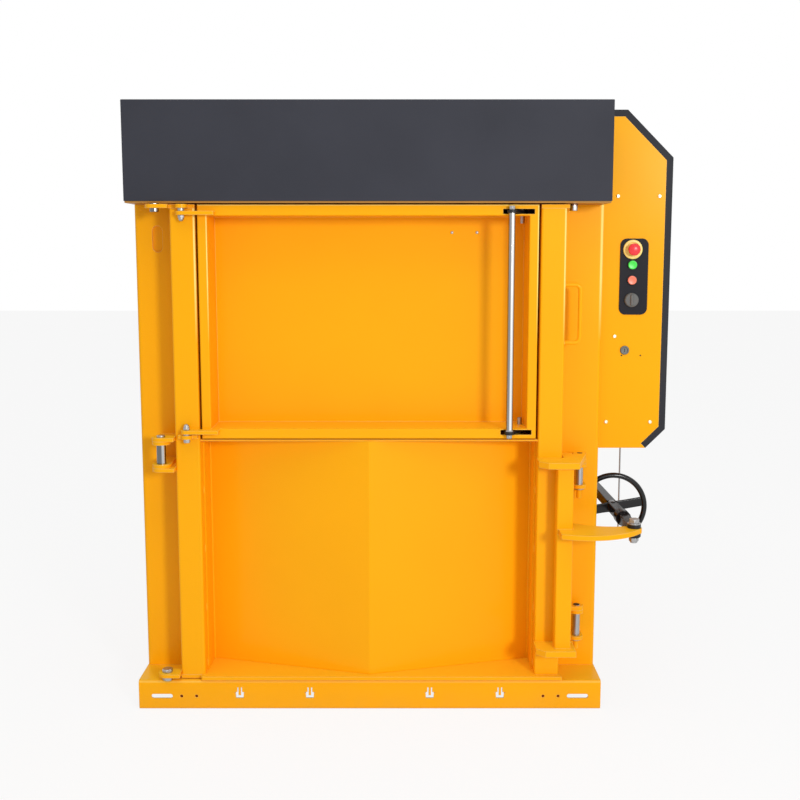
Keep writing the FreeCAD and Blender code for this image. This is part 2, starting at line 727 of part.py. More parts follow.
def make_portal():
    """Folded posts beside the door, the header over them and the beams under the cover."""
    inner = CHAMBER_WIDTH / 2
    half = BASE_WIDTH / 2
    line = [
        (inner, depth(POST_DEPTH + POST_RETURN)), (inner, depth(POST_DEPTH)),
        (half, depth(POST_DEPTH)), (half, depth(POST_DEPTH + POST_LIP)),
    ]
    right_post = folded("xy", line, POST_SHEET, BASE_HEIGHT, HEADER_BOTTOM)
    slot = obround(-POST_SLOT_PLACE, POST_SLOT_CENTRE, POST_SLOT_WIDTH, POST_SLOT_HEIGHT,
                   POST_DEPTH - 1, POST_DEPTH + POST_SHEET + 1)
    plate_half = POST_SLOT_WIDTH / 2 + POST_SLOT_MARGIN
    plate_rise = POST_SLOT_HEIGHT / 2 + POST_SLOT_MARGIN
    plate_front = depth(POST_DEPTH + POST_SHEET)
    backing = block((-POST_SLOT_PLACE - plate_half, -POST_SLOT_PLACE + plate_half),
                    (plate_front, plate_front + POST_SLOT_PLATE),
                    (POST_SLOT_CENTRE - plate_rise, POST_SLOT_CENTRE + plate_rise))
    left_post = joined([mirrored(right_post).cut(slot), backing])
    header_half = half - HEADER_INSET
    header = block((-header_half, header_half), (depth(HEADER_FRONT), depth(POST_DEPTH + POST_LIP)),
                   (HEADER_BOTTOM, HEADER_BOTTOM + HEADER_SHEET))
    beams = []
    heights = (TOP_BEAM_BOTTOM, TOP_BEAM_BOTTOM + TOP_BEAM_HEIGHT)
    front_start = depth(POST_DEPTH + POST_RETURN)
    rear_start = depth(CHAMBER_BACK - TOP_BEAM_DEPTH)
    for start in (front_start, rear_start):
        beams.append(box_tube("yz", (start, start + TOP_BEAM_DEPTH), heights, TOP_BEAM_WALL,
                              TOP_BEAM_WALL, -inner, inner))
    return {
        "left_post": left_post,
        "right_post": right_post,
        "header_plate": header,
        "top_beams": group(beams),
    }


def make_cover():
    """Top cover: a folded box, open underneath."""
    half = COVER_WIDTH / 2
    bottom = HEADER_BOTTOM + HEADER_SHEET
    outer = block((-half, half), (depth(COVER_FRONT), depth(COVER_BACK)), (bottom, MACHINE_HEIGHT))
    outer = outer.makeFillet(COVER_SHEET, [edge for edge in outer.Edges if edge.BoundBox.ZMax > bottom + 1])
    inner_half = half - COVER_SHEET
    hollow = block((-inner_half, inner_half),
                   (depth(COVER_FRONT + COVER_SHEET), depth(COVER_BACK - COVER_SHEET)),
                   (bottom - 1, MACHINE_HEIGHT - COVER_SHEET))
    return {"top_cover": outer.cut(hollow)}


def hinge_leaf(side, bottom, pin_x, pin_depth, radius):
    """Plate from a stile's outer face to a hinge pin, round at the pin."""
    edge = side * STILE_OUTER
    top = bottom + DOOR_PLATE
    arm = block(sorted((edge, pin_x)), (depth(pin_depth - radius), depth(pin_depth + radius)), (bottom, top))
    return joined([arm, upright(pin_x, pin_depth, bottom, top, radius)])


def frame_ear(pin_x, pin_depth, radius, hole, bottom):
    """Ear welded to the post's front face, around a hinge pin."""
    top = bottom + EAR_SHEET
    foot = block((pin_x - radius, pin_x + radius), (depth(pin_depth), depth(POST_DEPTH)), (bottom, top))
    ear = joined([foot, upright(pin_x, pin_depth, bottom, top, radius)])
    return ear.cut(upright(pin_x, pin_depth, bottom - 1, top + 1, hole))


def make_door():
    """Bale door: stiles, vee panel, cross plates, hinge leaves and grab handle."""
    outer = STILE_OUTER
    stile_bottom = DOOR_BOTTOM + DOOR_PLATE
    stile_top = DOOR_TOP - DOOR_PLATE
    right_stile = box_tube("xy", (STILE_INNER, outer), (depth(STILE_FRONT), depth(STILE_BACK)),
                           STILE_WALL, STILE_CORNER, stile_bottom, stile_top)
    ledge = STILE_FRONT + STILE_CORNER
    line = [
        (STILE_INNER, depth(PANEL_RETURN_DEPTH)), (STILE_INNER, depth(PANEL_CORNER_DEPTH)),
        (0, depth(PANEL_RIDGE)), (-STILE_INNER, depth(PANEL_CORNER_DEPTH)),
        (-STILE_INNER, depth(PANEL_RETURN_DEPTH)),
    ]
    panel = folded("xy", line, PANEL_SHEET, stile_bottom, PANEL_TOP)

    lip_right = outer + DOOR_BOTTOM_OVERHANG
    lip_corners = [
        (DOOR_LIP_LEFT, depth(STILE_FRONT), 0), (DOOR_LIP_LEFT, depth(DOOR_LIP_FRONT), DOOR_LIP_CORNER),
        (lip_right, depth(DOOR_LIP_FRONT), 0), (lip_right, depth(STILE_FRONT), 0),
    ]
    bottom_plate = joined([
        block((-outer, outer), (depth(STILE_FRONT), depth(STILE_BACK)), (DOOR_BOTTOM, stile_bottom)),
        block((-STILE_INNER, STILE_INNER), (depth(STILE_FRONT), depth(PANEL_CORNER_DEPTH)),
              (DOOR_BOTTOM, stile_bottom)),
        profile("xy", lip_corners, DOOR_BOTTOM, stile_bottom),
    ])
    foot_leaf = hinge_leaf(-1, stile_bottom, DOOR_PIN_X, DOOR_PIN_DEPTH, DOOR_EYE_RADIUS)
    top_bottom = stile_top
    tongue = tapered_link((HATCH_PIN_X, depth(HATCH_PIN_DEPTH)), HATCH_EYE_RADIUS,
                          (HATCH_PIN_X, depth(STILE_FRONT + HATCH_EYE_RADIUS)), HATCH_EYE_RADIUS,
                          top_bottom, DOOR_TOP)
    top_plate = joined([
        block((-outer, -STILE_INNER), (depth(STILE_FRONT), depth(STILE_BACK)), (top_bottom, DOOR_TOP)),
        hinge_leaf(-1, top_bottom, DOOR_PIN_X, DOOR_PIN_DEPTH, DOOR_EYE_RADIUS),
        tongue,
    ])
    right_top_plate = block((STILE_INNER, outer + DOOR_TOP_OVERHANG),
                            (depth(STILE_FRONT), depth(STILE_BACK)), (top_bottom, DOOR_TOP))
    shelf = block((-STILE_INNER, STILE_INNER), (depth(ledge), depth(PANEL_CORNER_DEPTH)),
                  (PANEL_TOP, PANEL_TOP + PANEL_SHEET))

    pin_hole = DOOR_PIN_RADIUS
    end_hole = PIN_END_RADIUS
    leaves = []
    for bottom in DOOR_LEAF_HEIGHTS:
        leaf = hinge_leaf(-1, bottom, DOOR_PIN_X, DOOR_PIN_DEPTH, DOOR_EYE_RADIUS)
        leaves.append(leaf.cut(upright(DOOR_PIN_X, DOOR_PIN_DEPTH, bottom - 1, bottom + DOOR_PLATE + 1,
                                       pin_hole)))
    end_cut = upright(DOOR_PIN_X, DOOR_PIN_DEPTH, BASE_HEIGHT, HEADER_BOTTOM, end_hole)
    hatch_cut = upright(HATCH_PIN_X, HATCH_PIN_DEPTH, BASE_HEIGHT, HEADER_BOTTOM, HATCH_PIN_RADIUS)

    hinge_plate = joined([
        block((STILE_HINGE_LEFT, STILE_HINGE_RIGHT), (depth(HATCH_PIN_DEPTH), depth(STILE_FRONT)),
              (STILE_HINGE_PLATE, STILE_HINGE_PLATE + DOOR_PLATE)),
        upright(HATCH_PIN_X, HATCH_PIN_DEPTH, STILE_HINGE_PLATE, STILE_HINGE_PLATE + DOOR_PLATE,
                HATCH_EYE_RADIUS),
    ]).cut(hatch_cut)

    reach = outer + HANDLE_REACH - HANDLE_BAR_RADIUS
    low = HANDLE_BOTTOM + HANDLE_BAR_RADIUS
    high = HANDLE_TOP - HANDLE_BAR_RADIUS
    handle = bent_bar([Vector(outer, depth(HANDLE_DEPTH), low), Vector(reach, depth(HANDLE_DEPTH), low),
                       Vector(reach, depth(HANDLE_DEPTH), high), Vector(outer, depth(HANDLE_DEPTH), high)],
                      HANDLE_BEND, HANDLE_BAR_RADIUS)
    return {
        "left_door_stile": mirrored(right_stile),
        "right_door_stile": right_stile,
        "door_panel": panel,
        "door_plates": group([bottom_plate, foot_leaf.cut(end_cut), top_plate.cut([end_cut, hatch_cut]),
                              right_top_plate, shelf]),
        "door_hinge_leaves": group(leaves),
        "hatch_hinge_plate": hinge_plate,
        "grab_handle": handle,
    }


def bent_bar(points, bend, radius):
    """Round bar along straight runs joined by tangent arcs."""
    edges = []
    start = points[0]
    for index in range(1, len(points) - 1):
        here = points[index]
        before = points[index - 1].sub(here).normalize()
        after = points[index + 1].sub(here).normalize()
        half = before.getAngle(after) / 2
        run = bend / math.tan(half)
        inward = before.add(after).normalize()
        middle = here.add(inward * (bend / math.sin(half) - bend))
        arc_start = here.add(before * run)
        arc_end = here.add(after * run)
        edges.append(Part.LineSegment(start, arc_start).toShape())
        edges.append(Part.Arc(arc_start, middle, arc_end).toShape())
        start = arc_end
    edges.append(Part.LineSegment(start, points[-1]).toShape())
    path = Part.Wire(edges)
    section = Part.Wire(Part.makeCircle(radius, points[0], points[1].sub(points[0])))
    return path.makePipeShell([section], True, False)


def make_hinges():
    """Frame ears and pins of the door hinge and the lock hinges, and the closing roller."""
    low_leaf, high_leaf = DOOR_LEAF_HEIGHTS
    foot_top = DOOR_BOTTOM + 2 * DOOR_PLATE
    ears = [
        frame_ear(DOOR_PIN_X, DOOR_PIN_DEPTH, DOOR_EYE_RADIUS, DOOR_PIN_RADIUS, low_leaf + DOOR_PLATE),
        frame_ear(DOOR_PIN_X, DOOR_PIN_DEPTH, DOOR_EYE_RADIUS, DOOR_PIN_RADIUS, high_leaf - EAR_SHEET),
    ]
    pins = [
        upright(DOOR_PIN_X, DOOR_PIN_DEPTH, low_leaf, high_leaf + DOOR_PLATE, DOOR_PIN_RADIUS),
        joined([
            upright(DOOR_PIN_X, DOOR_PIN_DEPTH, BASE_HEIGHT, foot_top, PIN_END_RADIUS),
            hex_nut(DOOR_PIN_X, DOOR_PIN_DEPTH, BASE_HEIGHT, foot_top - DOOR_PLATE, PIN_NUT_RADIUS),
            hex_nut(DOOR_PIN_X, DOOR_PIN_DEPTH, foot_top, foot_top + ROD_NUT_HEIGHT, PIN_NUT_RADIUS),
        ]),
        upright(DOOR_PIN_X, DOOR_PIN_DEPTH, DOOR_TOP - 2 * DOOR_PLATE, HEADER_BOTTOM, PIN_END_RADIUS),
        upright(ROLLER_X, ROLLER_DEPTH, HEADER_BOTTOM - ROLLER_LENGTH, HEADER_BOTTOM, ROLLER_RADIUS),
    ]
    for bottom, top in LOCK_HINGE_HEIGHTS:
        high_ear = top - LOCK_LUG - SEAT_GAP - EAR_SHEET
        for ear_bottom in (bottom, high_ear):
            ears.append(frame_ear(LOCK_PIN_X, LOCK_PIN_DEPTH, LOCK_EYE_RADIUS, LOCK_PIN_RADIUS, ear_bottom))
        washer_bottom = bottom - LOCK_PIN_WASHER_SHEET
        pins.append(joined([
            upright(LOCK_PIN_X, LOCK_PIN_DEPTH, bottom, top + LOCK_PIN_PROUD, LOCK_PIN_RADIUS),
            upright(LOCK_PIN_X, LOCK_PIN_DEPTH, washer_bottom, bottom, LOCK_PIN_WASHER),
            upright(LOCK_PIN_X, LOCK_PIN_DEPTH, bottom - LOCK_PIN_TAIL, washer_bottom, LOCK_PIN_TAIL_RADIUS),
        ]))
    return {"frame_ears": group(ears), "hinge_pins": group(pins)}


def make_hatch():
    """Loading hatch: a deep folded tray, its hinge straps and the pins they turn on."""
    half = HATCH_HALF_WIDTH
    opening = half - HATCH_SIDE_FLANGE
    low = HATCH_BOTTOM + HATCH_BOTTOM_FLANGE
    high = HATCH_TOP - HATCH_TOP_FLANGE
    front = STILE_FRONT
    panel = front + HATCH_PAN_DEPTH
    sheet = HATCH_SHEET
    rail_back = front + HATCH_RAIL_RETURN
    side_back = front + HATCH_SIDE_RETURN
    pan = block((-opening - sheet, opening + sheet), (depth(front), depth(panel + sheet)),
                (low - sheet, high + sheet))
    hollow = block((-opening, opening), (depth(front - 1), depth(panel)), (low, high))
    flange = block((-half, half), (depth(front), depth(front + sheet)), (HATCH_BOTTOM, HATCH_TOP))
    inset = half - HATCH_RAIL_INSET
    returns = [
        block((-half, half), (depth(front), depth(side_back)), (HATCH_TOP - sheet, HATCH_TOP)),
        block((-half, half), (depth(front), depth(side_back)), (HATCH_BOTTOM, HATCH_BOTTOM + sheet)),
        block((-inset, inset), (depth(side_back), depth(rail_back)), (HATCH_TOP - sheet, HATCH_TOP)),
        block((-inset, inset), (depth(side_back), depth(rail_back)), (HATCH_BOTTOM, HATCH_BOTTOM + sheet)),
        block((half - sheet, half), (depth(front), depth(side_back)), (HATCH_BOTTOM, HATCH_TOP)),
        block((-half, -half + sheet), (depth(front), depth(side_back)), (HATCH_BOTTOM, HATCH_TOP)),
    ]
    tray = joined([pan, flange] + returns).cut(hollow)
    folds = [edge for edge in tray.Edges if edge.BoundBox.YMax < depth(front) + SEAT_GAP]
    tray = tray.makeFillet(HATCH_FOLD, folds)
    upper_slot, lower_slot = latch_slots()
    cutters = []
    for bottom in (upper_slot, lower_slot):
        cutters.append(block((LATCH_SLOT_LEFT, LATCH_SLOT_RIGHT),
                             (depth(front - 1), depth(front + sheet + 1)),
                             (bottom, bottom + LATCH_SLOT_HEIGHT)))
    upper_pivot, lower_pivot = latch_pivots()
    tray = tray.cut(cutters + [upper_pivot, lower_pivot])

    straps = []
    for bottom in (HATCH_TOP_STRAP, HATCH_LOW_STRAP):
        eye = (HATCH_PIN_X, depth(HATCH_PIN_DEPTH))
        rear = depth(front) - SEAT_GAP
        strap = joined([
            upright(HATCH_PIN_X, HATCH_PIN_DEPTH, bottom, bottom + STRAP_PLATE, HATCH_EYE_RADIUS),
            block((HATCH_PIN_X, STRAP_END_X), (eye[1] - HATCH_EYE_RADIUS, rear),
                  (bottom, bottom + STRAP_PLATE)),
        ])
        straps.append(strap.cut(upright(HATCH_PIN_X, HATCH_PIN_DEPTH, bottom - 1, bottom + STRAP_PLATE + 1,
                                        HATCH_PIN_RADIUS + RUNNING_GAP)))

    top_washer = HATCH_TOP_STRAP + STRAP_PLATE + SEAT_GAP
    top_pin = joined([
        upright(HATCH_PIN_X, HATCH_PIN_DEPTH, HATCH_TOP_STRAP - SEAT_GAP, DOOR_TOP, HATCH_PIN_RADIUS),
        upright(HATCH_PIN_X, HATCH_PIN_DEPTH, top_washer, DOOR_TOP - DOOR_PLATE, HATCH_NUT_RADIUS),
        domed_nut(HATCH_PIN_X, HATCH_PIN_DEPTH, HATCH_TOP_STRAP - SEAT_GAP, -HATCH_NUT_HEIGHT,
                  HATCH_NUT_RADIUS),
    ])
    low_top = HATCH_LOW_STRAP + STRAP_PLATE + SEAT_GAP
    plate_top = STILE_HINGE_PLATE + DOOR_PLATE
    low_pin = joined([
        upright(HATCH_PIN_X, HATCH_PIN_DEPTH, STILE_HINGE_PLATE, low_top, HATCH_PIN_RADIUS),
        upright(HATCH_PIN_X, HATCH_PIN_DEPTH, plate_top, HATCH_LOW_STRAP - SEAT_GAP, HATCH_NUT_RADIUS),
        hex_nut(HATCH_PIN_X, HATCH_PIN_DEPTH, STILE_HINGE_PLATE - ROD_NUT_HEIGHT, STILE_HINGE_PLATE,
                HATCH_NUT_RADIUS),
        domed_nut(HATCH_PIN_X, HATCH_PIN_DEPTH, low_top, HATCH_NUT_HEIGHT, HATCH_NUT_RADIUS),
    ])
    return {
        "hatch_tray": tray,
        "hatch_straps": group(straps),
        "hatch_pins": group([top_pin, low_pin]),
    }


def latch_slots():
    """Bottom of the upper and of the lower crank slot in the hatch's rails."""
    pan_top = HATCH_TOP - HATCH_TOP_FLANGE + HATCH_SHEET
    pan_bottom = HATCH_BOTTOM + HATCH_BOTTOM_FLANGE - HATCH_SHEET
    return (pan_top + 1, pan_bottom - LATCH_SLOT_HEIGHT)


def crank_bottoms():
    """Underside of the upper and of the lower crank, centred in their slots."""
    margin = (LATCH_SLOT_HEIGHT - CRANK_SHEET) / 2
    return [bottom + margin for bottom in latch_slots()]


def latch_pivots():
    """Upright pins in the hatch's rails that the cranks turn on."""
    upper, lower = crank_bottoms()
    top = upright(LATCH_PIVOT_X, LATCH_PIVOT_DEPTH, upper - LATCH_PIVOT_LENGTH, HATCH_TOP - HATCH_SHEET,
                  LATCH_PIVOT_RADIUS)
    bottom = upright(LATCH_PIVOT_X, LATCH_PIVOT_DEPTH, HATCH_BOTTOM + HATCH_SHEET,
                     lower + CRANK_SHEET + LATCH_PIVOT_LENGTH, LATCH_PIVOT_RADIUS)
    return (top, bottom)


def make_latch():
    """Pull rod between two cranks, and the pivots the cranks turn on."""
    upper, lower = crank_bottoms()
    pivot = (LATCH_PIVOT_X, depth(LATCH_PIVOT_DEPTH))
    cranks = []
    for bottom in (upper, lower):
        top = bottom + CRANK_SHEET
        arm = tapered_link(pivot, CRANK_PIVOT_END, (PULL_ROD_X, depth(PULL_ROD_DEPTH)), CRANK_ROD_END,
                           bottom, top)
        tongue = tapered_link(pivot, CRANK_PIVOT_END - 1, (LATCH_PIVOT_X + CRANK_TONGUE - CRANK_TONGUE_END,
                              depth(LATCH_PIVOT_DEPTH)), CRANK_TONGUE_END, bottom, top)
        bore = upright(LATCH_PIVOT_X, LATCH_PIVOT_DEPTH, bottom - 1, top + 1,
                       LATCH_PIVOT_RADIUS + RUNNING_GAP)
        cranks.append(joined([arm, tongue]).cut(bore))
    rod = joined([
        upright(PULL_ROD_X, PULL_ROD_DEPTH, lower + CRANK_SHEET, upper, PULL_ROD_RADIUS),
        hex_nut(PULL_ROD_X, PULL_ROD_DEPTH, lower + CRANK_SHEET, lower + CRANK_SHEET + PULL_ROD_FOOT_HEIGHT,
                PULL_ROD_RADIUS + PULL_ROD_FOOT_RIM),
    ])
    nuts = [
        hex_nut(PULL_ROD_X, PULL_ROD_DEPTH, lower - ROD_NUT_HEIGHT, lower, ROD_NUT_RADIUS),
        hex_nut(PULL_ROD_X, PULL_ROD_DEPTH, upper + CRANK_SHEET, upper + CRANK_SHEET + ROD_NUT_HEIGHT,
                ROD_NUT_RADIUS),
    ]
    return {
        "latch_pivots": group(list(latch_pivots())),
        "latch_cranks": group(cranks),
        "pull_rod": group([rod] + nuts),
    }


def make_lock():
    """Door lock: clamp plates and tube across the right stile, lugs on the hinge pins and the arm."""
    left = LOCK_TUBE_LEFT
    right = LOCK_TUBE_LEFT + LOCK_TUBE_WIDTH
    front = LOCK_TUBE_FRONT
    back = LOCK_TUBE_FRONT + LOCK_TUBE_DEPTH
    tube = box_tube("xy", (left, right), (depth(front), depth(back)), LOCK_TUBE_WALL, LOCK_TUBE_CORNER,
                    LOCK_BOTTOM, LOCK_TOP)
    plates = []
    rear = depth(STILE_FRONT) - SEAT_GAP
    near = depth(LOCK_PLATE_FRONT)
    for bottom in (LOCK_BOTTOM - LOCK_PLATE, LOCK_TOP):
        corners = [
            (LOCK_PLATE_LEFT, rear, 0), (LOCK_PLATE_LEFT, near + LOCK_PLATE_CHAMFER, 0),
            (LOCK_PLATE_LEFT + LOCK_PLATE_CHAMFER, near, 0), (LOCK_PLATE_RIGHT, near, 0),
            (LOCK_PLATE_RIGHT, rear, 0),
        ]
        plates.append(profile("xy", corners, bottom, bottom + LOCK_PLATE))
    tab_left = STILE_OUTER + LOCK_LUG_GAP
    tab = block((tab_left, LOCK_PLATE_RIGHT), (rear - LOCK_PLATE, depth(LOCK_PIN_DEPTH)),
                (LOCK_TOP, LOCK_TOP + LOCK_PLATE))
    plates[1] = joined([plates[1], tab])
    lugs = [lock_lug(top - LOCK_LUG, right, back) for _, top in LOCK_HINGE_HEIGHTS]
    return {
        "lock_tube": tube,
        "lock_plates": group(plates + lugs),
        "lock_arm": lock_arm(left, right, front, back),
    }


def lock_lug(bottom, tube_right, tube_back):
    """Plate from the tube's back face past the stile's side to a lock hinge pin."""
    top = bottom + LOCK_LUG
    left = STILE_OUTER + LOCK_LUG_GAP
    pin_y = depth(LOCK_PIN_DEPTH)
    stem = block((left, tube_right), (depth(tube_back), pin_y + LOCK_LUG_REACH), (bottom, top))
    cross = block((left, LOCK_PIN_X), (pin_y - LOCK_EYE_RADIUS, pin_y + LOCK_LUG_REACH), (bottom, top))
    eye = upright(LOCK_PIN_X, LOCK_PIN_DEPTH, bottom, top, LOCK_EYE_RADIUS)
    bore = upright(LOCK_PIN_X, LOCK_PIN_DEPTH, bottom - 1, top + 1, LOCK_PIN_RADIUS + RUNNING_GAP)
    return joined([stem, cross, eye]).cut(bore)


def lock_arm(left, right, front, back):
    """Crescent arm: it passes in front of the tube and curves back to the strut's pin."""
    bottom = ARM_TOP - ARM_SHEET
    pin_y = depth(STRUT_PIN_DEPTH)

    def spot(x, distance):
        return Vector(x, depth(distance), bottom)

    tip_front = Vector(STRUT_PIN_X + ARM_TIP_RADIUS * 0.6, pin_y - ARM_TIP_RADIUS * 0.8, bottom)
    tip_end = Vector(STRUT_PIN_X + ARM_TIP_RADIUS, pin_y, bottom)
    tip_rear = Vector(STRUT_PIN_X, pin_y + ARM_TIP_RADIUS, bottom)
    edges = [
        Part.Arc(spot(ARM_LEFT, ARM_FRONT), spot(ARM_BULGE_X, ARM_BULGE_DEPTH), tip_front).toShape(),
        Part.Arc(tip_front, tip_end, tip_rear).toShape(),
        Part.Arc(tip_rear, spot(ARM_REAR_X, ARM_REAR_DEPTH), spot(ARM_HEEL_X, ARM_HEEL_DEPTH)).toShape(),
        Part.LineSegment(spot(ARM_HEEL_X, ARM_HEEL_DEPTH), spot(right, back)).toShape(),
        Part.LineSegment(spot(right, back), spot(right, front)).toShape(),
        Part.LineSegment(spot(right, front), spot(ARM_LEFT, front)).toShape(),
        Part.LineSegment(spot(ARM_LEFT, front), spot(ARM_LEFT, ARM_FRONT)).toShape(),
    ]
    arm = Part.Face(Part.Wire(edges)).extrude(Vector(0, 0, ARM_SHEET))
    return arm.cut(upright(STRUT_PIN_X, STRUT_PIN_DEPTH, bottom - 1, ARM_TOP + 1, STRUT_PIN_RADIUS))


def strut_line(shape):
    """Turn a piece made along the depth onto the strut's own line through its pin."""
    turned = shape.copy()
    turned.rotate(Vector(STRUT_PIN_X, depth(STRUT_PIN_DEPTH), 0), Vector(0, 0, 1), STRUT_TILT)
    return turned


def square_tube(front, back, middle):
    """Square sleeve along the strut."""
    half = SLEEVE_SIZE / 2
    return box_tube("xz", (STRUT_PIN_X - half, STRUT_PIN_X + half), (middle - half, middle + half),
                    SLEEVE_WALL, SLEEVE_WALL, depth(front), depth(back))


def make_strut():
    """Strut from the lock's arm: clevis, sleeves, handwheel on its screw, cradle and interlock rod."""
    x = STRUT_PIN_X
    middle = ARM_TOP - ARM_SHEET / 2
    throat = STRUT_PIN_DEPTH + CLEVIS_THROAT
    clevis_back = throat + CLEVIS_LENGTH
    half_width = CLEVIS_WIDTH / 2
    gap = ARM_SHEET / 2 + SEAT_GAP
    cheek_reach = gap + CLEVIS_CHEEK
    body = block((x - half_width, x + half_width), (depth(STRUT_PIN_DEPTH), depth(clevis_back)),
                 (middle - cheek_reach, middle + cheek_reach))
    nose = upright(x, STRUT_PIN_DEPTH, middle - cheek_reach, middle + cheek_reach, half_width)
    mouth = block((x - half_width - 1, x + half_width + 1),
                  (depth(STRUT_PIN_DEPTH - half_width - 1), depth(throat)), (middle - gap, middle + gap))
    bore = upright(x, STRUT_PIN_DEPTH, middle - 2 * cheek_reach, middle + 2 * cheek_reach,
                   STRUT_PIN_RADIUS + RUNNING_GAP)
    clevis = joined([body, nose]).cut([mouth, bore])

    bolt_top = middle + cheek_reach + SEAT_GAP
    bolt_bottom = middle - cheek_reach - SEAT_GAP
    bolt = joined([
        upright(x, STRUT_PIN_DEPTH, bolt_bottom, bolt_top, STRUT_PIN_RADIUS),
        upright(x, STRUT_PIN_DEPTH, bolt_top, bolt_top + WASHER_SHEET, WASHER_RADIUS),
        hex_nut(x, STRUT_PIN_DEPTH, bolt_top + WASHER_SHEET, bolt_top + WASHER_SHEET + STRUT_BOLT_HEAD_HEIGHT,
                STRUT_BOLT_HEAD),
        hex_nut(x, STRUT_PIN_DEPTH, bolt_bottom - NUT_HEIGHT, bolt_bottom, STRUT_BOLT_HEAD),
        upright(x, STRUT_PIN_DEPTH, bolt_bottom - NUT_HEIGHT - STRUT_PIN_RADIUS / 2, bolt_bottom - NUT_HEIGHT,
                STRUT_PIN_RADIUS),
    ])

    hub_end = HUB_START + HUB_LENGTH
    front_sleeve = square_tube(clevis_back, HUB_START - SEAT_GAP, middle)
    collar_end = COLLAR_START + COLLAR_LENGTH
    collar = across(x, middle, COLLAR_START, collar_end, HUB_RADIUS)
    half_bore = SLEEVE_SIZE / 2 - SLEEVE_WALL
    hollow = block((x - half_bore, x + half_bore), (depth(COLLAR_START), depth(collar_end)),
                   (middle - half_bore, middle + half_bore))
    front_sleeve = joined([front_sleeve, collar.cut(hollow)])
    rear_sleeve = square_tube(hub_end + SEAT_GAP, SLEEVE_END, middle)

    hub_middle = HUB_START + HUB_LENGTH / 2
    centre = Vector(x, depth(hub_middle), middle)
    hub = across(x, middle, HUB_START, hub_end, HUB_RADIUS)
    rim = Part.makeTorus(WHEEL_RADIUS - WHEEL_RIM_RADIUS, WHEEL_RIM_RADIUS, centre, Vector(0, 1, 0))
    spoke_half = WHEEL_RADIUS - WHEEL_RIM_RADIUS
    spoke = block((x - spoke_half, x + spoke_half),
                  (depth(hub_middle - WHEEL_SPOKE_SHEET / 2), depth(hub_middle + WHEEL_SPOKE_SHEET / 2)),
                  (middle - WHEEL_SPOKE_WIDTH / 2, middle + WHEEL_SPOKE_WIDTH / 2))
    spoke.rotate(centre, Vector(0, 1, 0), -WHEEL_SPOKE_TURN)
    screw = across(x, middle, HUB_START - SCREW_END_LENGTH, hub_end + SCREW_END_LENGTH, SCREW_RADIUS)
    wheel = joined([hub, rim, spoke, screw])
    return {
        "clevis": strut_line(clevis),
        "clevis_bolt": bolt,
        "strut_sleeves": strut_line(group([front_sleeve, rear_sleeve])),
        "handwheel": strut_line(wheel),
        "strut_cradle": strut_cradle(middle),
        "interlock_rod": upright(INTERLOCK_X, INTERLOCK_DEPTH, INTERLOCK_BOTTOM, HOOD_BOTTOM,
                                 INTERLOCK_RADIUS),
    }


def strut_cradle(middle):
    """Plate on the chamber wall with an open slot that carries the strut's rear end."""
    wall = CHAMBER_WIDTH / 2 + WALL_SHEET
    half_slot = SLEEVE_SIZE / 2 + CRADLE_SLOT_GAP
    front = depth(CRADLE_DEPTH)
    back = depth(CRADLE_DEPTH + CRADLE_SHEET)
    corner = CRADLE_SHEET
    jaw_top = middle - half_slot
    outline = [
        (wall, CRADLE_BOTTOM, 0), (CRADLE_REACH, CRADLE_BOTTOM, corner), (CRADLE_REACH, jaw_top, corner / 2),
        (CRADLE_SLOT_LEFT, jaw_top, corner), (CRADLE_SLOT_LEFT, middle + half_slot, corner),
        (CRADLE_REACH, middle + half_slot, corner / 2), (CRADLE_REACH, CRADLE_TOP, corner),
        (wall, CRADLE_TOP, 0),
    ]
    return profile("xz", outline, front, back)


def hood_corners():
    """Outer edge of the hood's dark band, from the top left round to its lower end."""
    return [
        (HOOD_LEFT, HOOD_TOP), (HOOD_RIGHT - HOOD_TOP_CHAMFER, HOOD_TOP),
        (HOOD_RIGHT, HOOD_TOP - HOOD_TOP_CHAMFER), (HOOD_RIGHT, HOOD_BOTTOM + HOOD_LOW_CHAMFER),
        (HOOD_RIGHT - HOOD_LOW_CHAMFER, HOOD_BOTTOM),
    ]


